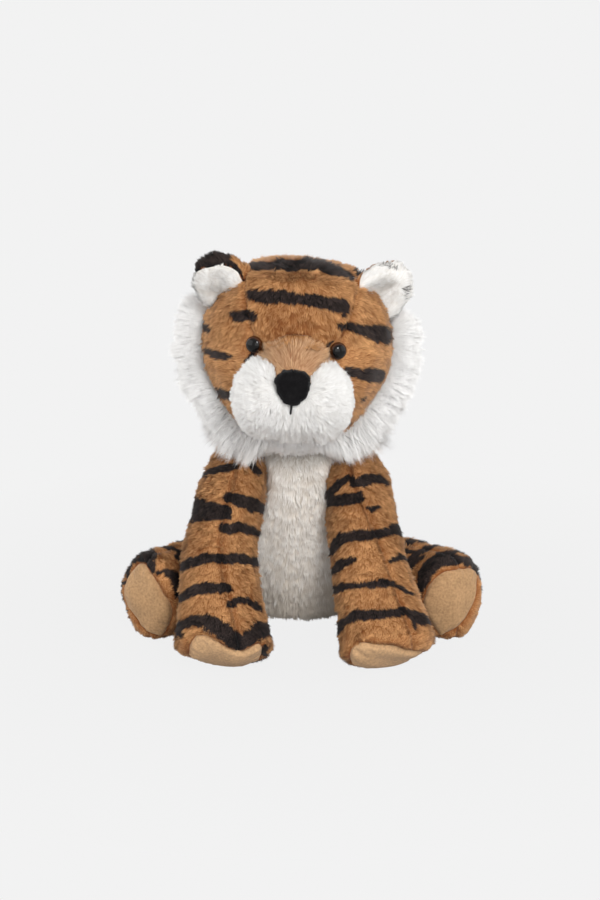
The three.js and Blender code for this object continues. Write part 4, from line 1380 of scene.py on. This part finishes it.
class TIGER_OT_snout(bpy.types.Operator):
    """Makes the muzzle, the bridge, the nose and the mouth."""

    bl_idname = "tiger.snout"
    bl_label = "Snout"

    def execute(self, context):
        pile = context.scene.tiger_pile
        nose = centre_of("nose")
        self.muzzle(context, pile, nose)
        self.bridge(context, pile, nose)
        shield = soft_form("nose_flocked", ("nose",), "nose")
        push(shield, lambda places, normals: ripple(places, 8 * MM, 95) * 0.5 * MM)
        grow_pile(shield, pile.flock, away_from(nose), lift=0.4, curl=0.3, clump=0.4, seed=93, even=0.5)
        finish_piece(context, shield, "head", "nose_flock", ("nose",))
        self.stitch(context)
        return {"FINISHED"}

    def muzzle(self, context, pile, nose):
        """Two white cheeks with a cleft between them, flat where the bridge spreads over their tops."""
        mouth = centre_of("mouth_thread")
        head_tree = node_tree(HEAD_NODES + ("nose_bridge", "head_filling"))
        muzzle = soft_form("muzzle_pile", ("muzzle",), "muzzle")

        def cleft(places, normals):
            aside = np.abs(places[:, 0] - mouth.x)
            below = ramp(nose.z - places[:, 2], 0, 10 * MM)
            facing = np.clip(-normals[:, 1], 0, 1)
            bulge = np.clip(1 - (normals[:, 0] ** 2), 0, 1) * 1.2 * MM
            flanks = edge_share(inside_drawn(places, BRIDGE_FLANKS), 3 * MM)
            return bulge - 4.5 * MM * flanks * facing + seam_pull(aside, 2.4 * MM, 3.2 * MM) * below * facing

        push(muzzle, cleft)

        def trim(roots):
            """Short round the mouth's thread and the nose, and a little shorter at the sides."""
            aside = np.hypot(roots[:, 0] - mouth.x, np.maximum(0, np.abs(roots[:, 2] - mouth.z) - 5 * MM))
            thread = np.clip((aside - 0.5 * MM) / (4 * MM), 0.2, 1)
            by_nose = np.clip((gap_to(roots, nose) - 9 * MM) / (10 * MM), 0.4, 1)
            at_sides = 1 - 0.35 * ramp(np.abs(roots[:, 0] - nose.x), 24 * MM, 16 * MM)
            return np.minimum(thread, by_nose) * at_sides

        grow_pile(
            muzzle, pile.muzzle, away_from(nose + Vector((0, -6 * MM, 0))), lift=0.36, curl=0.24, clump=0.3,
            lock_share=0.12, seed=91, trim=trim, lit=lambda normals: unit(normals + np.array((0, -0.3, 0.3))),
            bare=lambda places: near(head_tree, places, 4 * MM) < 0.9 * MM,
        )
        finish_piece(context, muzzle, "head", "white_pile", ("muzzle",))

    def bridge(self, context, pile, nose):
        """The bridge, a fifth wider above the nose than its node."""
        bridge = soft_form("bridge_pile", ("nose_bridge",), "bridge")
        places, _ = places_of(bridge.data)
        places[:, 0] += (places[:, 0] - nose.x) * 0.2 * ramp(places[:, 2] - nose.z, 4 * MM, 12 * MM)
        set_places(bridge.data, places)
        around = node_tree(("muzzle", "head_filling", "head_gusset"))
        edge = np.array(BRIDGE_EDGE, float)

        def above_edge(places):
            """How far tufts from these places reach above the upper edge of the bridge in the photograph."""
            across, down = photo_spots(places)
            return (np.interp(across, edge[:, 0], edge[:, 1]) - down) * PIXEL + 0.45 * pile.bridge

        def bridge_way(roots):
            """A fan up and away from the nose, which meets the forehead's pile at the edge."""
            fan = unit(roots - np.array(nose + Vector((0, 0, -4 * MM)))) * np.array((2.4, 1, 1))
            brow = edge_share(above_edge(roots), 2 * MM)[:, None]
            return unit(fan) * (1 - brow) + np.array((0, -0.3, -1)) * brow

        def forehead(places, normals):
            return edge_share(above_edge(places) + ripple(places, 4 * MM, 94) * 0.8 * MM, 1.5 * MM)

        grow_pile(
            bridge, pile.bridge, bridge_way, lift=0.32, curl=0.12, clump=0.2, seed=92, stripes=forehead,
            lock_share=0.15, bare=lambda places: near(around, places, 3 * MM) < 0.9 * MM,
            # painted shade along the upper edge of the bridge, where the forehead's pile meets it
            painted_shade=lambda roots: 0.1 * bump_shape(above_edge(roots) - 1.5 * MM, 2 * MM),
            trim=lambda roots: np.clip((gap_to(roots, nose) - 9 * MM) / (12 * MM), 0.4, 0.95),
        )
        finish_piece(context, bridge, "head", "bridge_pile", ("nose_bridge",))

    def stitch(self, context):
        """The stitch of the mouth, made rounder and drawn up into the pile."""
        bm = node_bmesh(("mouth_thread",))
        top = max(vert.co.z for vert in bm.verts)
        for vert in bm.verts:
            vert.co.z = top + (vert.co.z - top) * 0.7
        stitch = mesh_object("mouth_stitch", bm)
        finer = stitch.modifiers.new("finer", "SUBSURF")
        finer.levels = finer.render_levels = 2
        smooth_faces(stitch.data)
        finish_piece(context, stitch, "head", "thread", ("mouth_thread",))


class TIGER_OT_eyes(bpy.types.Operator):
    """Turns the glossy eyes and their washers."""

    bl_idname = "tiger.eyes"
    bl_label = "Eyes"

    def execute(self, context):
        for side, _ in HANDS:
            eye, washer = f"eye_{side}", f"eye_washer_{side}"
            middle, grip = corner_mean(eye), corner_mean(washer)
            aim = (middle - grip).normalized()
            self.turn(context, eye, grip, aim)
            self.washer(context, washer, grip, aim)
        return {"FINISHED"}

    def turn(self, context, eye, grip, aim):
        """One eye: a dome over a thin edge, and the ribbed stem behind it."""
        places, _ = places_of(frame["nodes"][eye].data)
        heights, aside = off_axis(places, grip, aim)
        top, bottom, radius = heights.max(), heights.min(), aside.max()
        rim = heights[aside > radius * 0.98].min()
        stem = 1.8 * MM
        outline = [(0, bottom), (stem * 0.5, bottom), (stem, bottom + 1.5 * MM)]
        for rib in range(5):
            height = bottom + 2 * MM + rib * 1.6 * MM
            outline += [(stem, height), (stem * 1.12, height + 0.5 * MM), (stem, height + MM)]
        edge = rim + 0.3 * MM
        outline += [(stem, rim - 0.2 * MM), (radius * 0.9, rim - 0.2 * MM), (radius, edge)]
        for step in range(1, 17):
            angle = step / 16 * math.pi / 2
            outline.append((radius * math.cos(angle), edge + (top - edge) * math.sin(angle)))
        obj = spun(eye.replace("eye", "eye_dome"), outline, grip, aim, 48)
        _, aside = off_axis(places_of(obj.data)[0], grip, aim)
        set_numbers(obj.data, "rim", ramp(aside / radius, 0.72, 0.2))
        finish_piece(context, obj, "head", "eye", (eye,))

    def washer(self, context, node, grip, aim):
        """The washer that grips the stem behind the skin: a dished ring."""
        low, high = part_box(node)
        radius = max(high.z - low.z, high.x - low.x) / 2
        shares = ((0.3, -0.9), (0.9, -0.6), (1, -0.2), (1, 0.2), (0.9, 0.4), (0.5, 0.8), (0.3, 0.9), (0.3, -0.9))
        outline = [(share * radius, height * MM) for share, height in shares]
        obj = spun(f"{node}_ring", outline, grip, aim, 32)
        finish_piece(context, obj, "head", "washer", (node,))


def off_axis(places, foot, aim):
    """How high places lie along an axis, and how far from it."""
    offset = places - np.array(foot)
    heights = offset @ np.array(aim)
    return heights, np.linalg.norm(offset - heights[:, None] * np.array(aim), axis=1)


def corner_mean(node):
    """The mean of a node's distinct corners, which lies on the axis of a turned piece."""
    bm = node_bmesh((node,))
    mean = sum((vert.co for vert in bm.verts), Vector()) / len(bm.verts)
    bm.free()
    return mean


def spun(name, outline, foot, aim, steps):
    """A turned piece: an outline of radius and height, spun round an axis."""
    bm = bmesh.new()
    side = aim.orthogonal().normalized()
    verts = [bm.verts.new(foot + side * radius + aim * height) for radius, height in outline]
    edges = [bm.edges.new(pair) for pair in zip(verts, verts[1:])]
    bmesh.ops.spin(
        bm, geom=verts + edges, cent=foot, axis=aim, angle=2 * math.pi, steps=steps, use_merge=True,
        use_duplicate=False,
    )
    bmesh.ops.remove_doubles(bm, verts=bm.verts, dist=0.005 * MM)
    bmesh.ops.recalc_face_normals(bm, faces=bm.faces)
    obj = mesh_object(name, bm)
    smooth_faces(obj.data)
    return obj


class TIGER_OT_ears(bpy.types.Operator):
    """Makes the ears: a striped back and a white lining each."""

    bl_idname = "tiger.ears"
    bl_label = "Ears"

    def execute(self, context):
        pile = context.scene.tiger_pile
        head_tree = node_tree(HEAD_NODES)
        for side, sign in HANDS:
            nodes = (f"ear_{side}_back", f"ear_{side}_lining")
            form = soft_form(f"ear_{side}_form", nodes, "ear")
            self.fold(form, Vector((sign * 45, -36, 254)) * MM, Vector((-sign * 5, -13, -6)) * MM)
            push(form, lambda places, normals: 0.3 * MM + ripple(places, 16 * MM, 103) * 0.3 * MM)
            labels = self.lining_faces(form, side, corner_mean(nodes[1]) - corner_mean(nodes[0]))
            even_seams(form, labels)
            flow = along(centre_of(nodes[0]) - joint_place(f"ear_{side}_flop"))
            shared = {
                "flow": flow, "seams": seams_of(form, labels), "lift": 0.34, "curl": 0.3, "even": 0.5,
                "lock_share": 0.12, "bare": lambda places: near(head_tree, places, 3 * MM) < 0.9 * MM,
            }
            short = pile.ear * 0.85

            def stripes(places, normals):
                """The stripes of the back, which run over the ear's rim."""
                return drawn(places, normals, flow, short, EAR_STRIPES[side], 104, 0.5 * MM)

            def flecks(places, normals):
                """The flecks of the lining, which stop short of the ear's rim."""
                return drawn(places, normals, flow, pile.ear, EAR_FLECKS[side], 104, 0.15 * MM) * ahead(normals)

            back = sew_panel(form, labels, 0, f"{nodes[0]}_pile", 1.2 * MM)
            grow_pile(back, short, seed=101, stripes=stripes, **shared)
            finish_piece(context, back, f"ear_{side}", "striped_pile", nodes[:1])
            lining = sew_panel(form, labels, 1, f"{nodes[1]}_pile", 1.2 * MM)
            grow_pile(
                lining, pile.ear, seed=102, stripes=flecks,
                # painted shade in the creases of the lining
                painted_shade=lambda roots: edge_share(inside_drawn(roots, EAR_FOLDS[side]), 1.5 * MM), **shared,
            )
            finish_piece(context, lining, f"ear_{side}", "white_pile", nodes[1:], material="ear_white")
            discard(form)
        return {"FINISHED"}

    def fold(self, form, place, shift):
        """Draws the ear forward round a place, as where it folds over the head."""
        places, _ = places_of(form.data)
        set_places(form.data, places + bump_shape(gap_to(places, place), 14 * MM)[:, None] * np.array(shift))

    def lining_faces(self, form, side, outward):
        """Which faces belong to the lining: those that look forward, past the edge seen in the photograph."""
        normals = numbers(form.data.polygons, "normal", 3).astype(float)
        forward = normals @ np.array(outward.normalized()) > -0.25
        across, down = photo_spots(face_centres(form.data))
        edge = np.array(EAR_EDGES[side], float)
        if side == "left":
            past = down > np.interp(across, edge[:, 0], edge[:, 1])
        else:
            order = np.argsort(edge[:, 1])
            past = across > np.interp(down, edge[order, 1], edge[order, 0])
        return (forward & past).astype(int)


class TIGER_OT_ruff(bpy.types.Operator):
    """Grows the long white ruff."""

    bl_idname = "tiger.ruff"
    bl_label = "Ruff"

    def execute(self, context):
        pile = context.scene.tiger_pile
        form = soft_form("ruff_pile", ("ruff",), "ruff")
        middle = np.array(centre_of("head_filling")) + np.array((0, 0, -8 * MM))
        head_tree = node_tree(HEAD_NODES)

        def round_face(places):
            """The way out from the middle of the face, and how low down it points."""
            radial = places - middle
            radial[:, 1] = 0
            radial = unit(radial)
            return radial, np.clip(-radial[:, 2], 0, 1)

        def flow(roots):
            radial, low = round_face(roots)
            return radial + np.array((0, 0.4, -0.3)) + low[:, None] * np.array((0, -0.25, -0.4))

        def trim(roots):
            """Longest at the two lower corners, and short under the chin."""
            _, low = round_face(roots)
            return (0.52 + 0.48 * bump_shape(low - 0.78, 0.2)) * (1 - 0.5 * ramp(low, 0.88, 0.08))

        def lift(roots, out):
            """Flat over the front and the back, and standing out round the edge."""
            radial, _ = round_face(roots)
            return 0.2 + 0.5 * ramp((out * radial).sum(1), 0.3, 1)

        grow_pile(
            form, pile.ruff, flow, lift=lift, curl=0.1, clump=0.25, clump_size=2.5 * MM, lock_share=0.2, seed=111,
            trim=trim, even=0.75, lit=lambda normals: unit(normals * 0.7 + np.array((0, -0.35, 0.35))),
            bare=lambda places: near(head_tree, places, 3 * MM) < 0.7 * MM,
        )
        # the ruff takes the paler white, as painted light
        finish_piece(context, form, "head", "white_pile", ("ruff",), material="ruff_white")
        return {"FINISHED"}


class TIGER_OT_filling(bpy.types.Operator):
    """Makes the fibre and the pellet bags inside, and the plug of the neck."""

    bl_idname = "tiger.filling"
    bl_label = "Filling"

    def execute(self, context):
        inner = {
            "torso": ("torso_filling", "seat_pellet_bag"), "head": ("head_filling",), "tail": ("tail_filling",),
        }
        for kind in ("arm", "leg"):
            for side, _ in HANDS:
                inner[f"{kind}_{side}"] = (f"{kind}_{side}_filling", f"{kind}_{side}_pellet_bag")
        for body, nodes in inner.items():
            for node in nodes:
                slot = "pellets" if "pellet" in node else "fibre"
                form = soft_form(f"{node}_soft", (node,), "filling")
                settle_limb(form, body)
                smooth_faces(form.data)
                finish_piece(context, form, body, slot, (node,))
        neck = soft_form("neck_pile", ("neck_plug",), "neck")
        grow_pile(neck, context.scene.tiger_pile.limb, along(-UP), lift=0.6, seed=121)
        finish_piece(context, neck, "neck", "fibre", ("neck_plug",), material="striped_pile")
        return {"FINISHED"}


def background_rays(tree):
    """One for the rays that see the plain background: the camera's, and those in gloss and glass."""
    path = node_of(tree, "ShaderNodeLightPath", (-400, 300))
    seen = measured(tree, (-200, 300), "MAXIMUM", path.outputs["Is Camera Ray"], path.outputs["Is Glossy Ray"])
    return measured(tree, (-100, 300), "MAXIMUM", seen, path.outputs["Is Transmission Ray"])


def switch_shaders(tree, kind, share, first, second):
    """Ends a tree in a mix of two shaders."""
    mix = feed(tree, node_of(tree, "ShaderNodeMixShader", (300, 0)), {
        0: share, 1: first.outputs[0], 2: second.outputs[0],
    })
    feed(tree, node_of(tree, kind, (600, 0)), {"Surface": mix.outputs[0]})


class TIGER_OT_stage(bpy.types.Operator):
    """Sets the floor, the lamps and the camera."""

    bl_idname = "tiger.stage"
    bl_label = "Stage"

    def execute(self, context):
        scene = context.scene
        stage = scene.tiger_stage
        scene.view_settings.view_transform = "Standard"
        self.camera(scene)
        self.floor(stage)
        self.world(scene, stage)
        self.lamp("key", KEY_PLACE, KEY_SIZE, stage.key_power)
        for name, place, size, share in FILL_LAMPS:
            self.lamp(name, place, size, stage.fill_power * share)
        return {"FINISHED"}

    def camera(self, scene):
        """The photograph's camera."""
        data = bpy.data.cameras.new("photo_camera")
        data.sensor_width = SENSOR
        data.lens = PIXEL_FOCAL / PHOTO_HEIGHT * data.sensor_width
        camera = new_object("photo_camera", data)
        camera.location = CAMERA_PLACE
        camera.rotation_euler = (math.pi / 2 - CAMERA_PITCH, 0, 0)
        scene.camera = camera

    def floor(self, stage):
        """A wide pale floor that keeps the toy's shadow."""
        bm = bmesh.new()
        bmesh.ops.create_grid(bm, x_segments=1, y_segments=1, size=FLOOR_HALF)
        floor = mesh_object("floor", bm)
        material = bpy.data.materials.new("floor_paper")
        material.use_nodes = True
        tree = material.node_tree
        tree.nodes.clear()
        paper = node_of(tree, "ShaderNodeBsdfDiffuse", (0, 100))
        feed(tree, paper, {"Color": opaque([value * FLOOR_PAPER for value in stage.background])})
        glow = feed(tree, node_of(tree, "ShaderNodeEmission", (0, -100)), {"Color": opaque(stage.background)})
        where = node_of(tree, "ShaderNodeTexCoord", (-700, 500))
        away = node_of(tree, "ShaderNodeVectorMath", (-550, 500), operation="LENGTH")
        feed(tree, away, {0: where.outputs["Object"]})
        fade = node_of(tree, "ShaderNodeMapRange", (-400, 500))
        feed(tree, fade, {**FLOOR_FADE, "Value": away.outputs["Value"]})
        seen = measured(tree, (0, 300), "MULTIPLY", background_rays(tree), fade.outputs[0])
        switch_shaders(tree, "ShaderNodeOutputMaterial", seen, paper, glow)
        floor.data.materials.append(material)

    def world(self, scene, stage):
        """Even light from all round, and the plain backdrop that the camera sees."""
        world = bpy.data.worlds.new("studio")
        scene.world = world
        world.use_nodes = True
        tree = world.node_tree
        tree.nodes.clear()
        light = node_of(tree, "ShaderNodeBackground", (0, 100))
        feed(tree, light, {"Color": (1, 1, 1, 1), "Strength": stage.sky})
        back = feed(tree, node_of(tree, "ShaderNodeBackground", (0, -100)), {"Color": opaque(stage.background)})
        switch_shaders(tree, "ShaderNodeOutputWorld", background_rays(tree), light, back)

    def lamp(self, name, place, size, power):
        """A soft square lamp that looks at the toy."""
        data = bpy.data.lights.new(name, "AREA")
        data.size = size
        data.energy = power
        lamp = new_object(name, data)
        lamp.location = place
        aim = CAMERA_TARGET - Vector(place)
        lamp.rotation_euler = aim.to_track_quat("-Z", "Y").to_euler()


class TIGER_PT_panel(bpy.types.Panel):
    """Lists the steps that make the toy."""

    bl_idname = "TIGER_PT_panel"
    bl_label = "Plush tiger"
    bl_space_type = "VIEW_3D"
    bl_region_type = "UI"
    bl_category = "Tiger"

    def draw(self, context):
        for settings in (context.scene.tiger_pile, context.scene.tiger_colours, context.scene.tiger_stage):
            box = self.layout.box()
            for name in settings.__annotations__:
                box.prop(settings, name)
        for step in STEPS:
            self.layout.operator(step.bl_idname)


STEPS = (
    TIGER_OT_stage, TIGER_OT_torso, TIGER_OT_limbs, TIGER_OT_tail, TIGER_OT_head,
    TIGER_OT_snout, TIGER_OT_eyes, TIGER_OT_ears, TIGER_OT_ruff, TIGER_OT_filling,
)
CLASSES = (TIGER_PG_pile, TIGER_PG_colours, TIGER_PG_stage, *STEPS, TIGER_PT_panel)


def register():
    """Adds the classes and the settings."""
    for entry in CLASSES:
        bpy.utils.register_class(entry)
    bpy.types.Scene.tiger_pile = bpy.props.PointerProperty(type=TIGER_PG_pile)
    bpy.types.Scene.tiger_colours = bpy.props.PointerProperty(type=TIGER_PG_colours)
    bpy.types.Scene.tiger_stage = bpy.props.PointerProperty(type=TIGER_PG_stage)


def unregister():
    """Takes the settings and the classes away."""
    del bpy.types.Scene.tiger_stage
    del bpy.types.Scene.tiger_colours
    del bpy.types.Scene.tiger_pile
    for entry in reversed(CLASSES):
        bpy.utils.unregister_class(entry)


def main():
    """Makes the whole toy."""
    register()
    bpy.ops.tiger.stage()
    bpy.ops.tiger.torso()
    bpy.ops.tiger.limbs()
    bpy.ops.tiger.tail()
    bpy.ops.tiger.head()
    bpy.ops.tiger.snout()
    bpy.ops.tiger.eyes()
    bpy.ops.tiger.ears()
    bpy.ops.tiger.ruff()
    bpy.ops.tiger.filling()


if __name__ == "__main__":
    main()
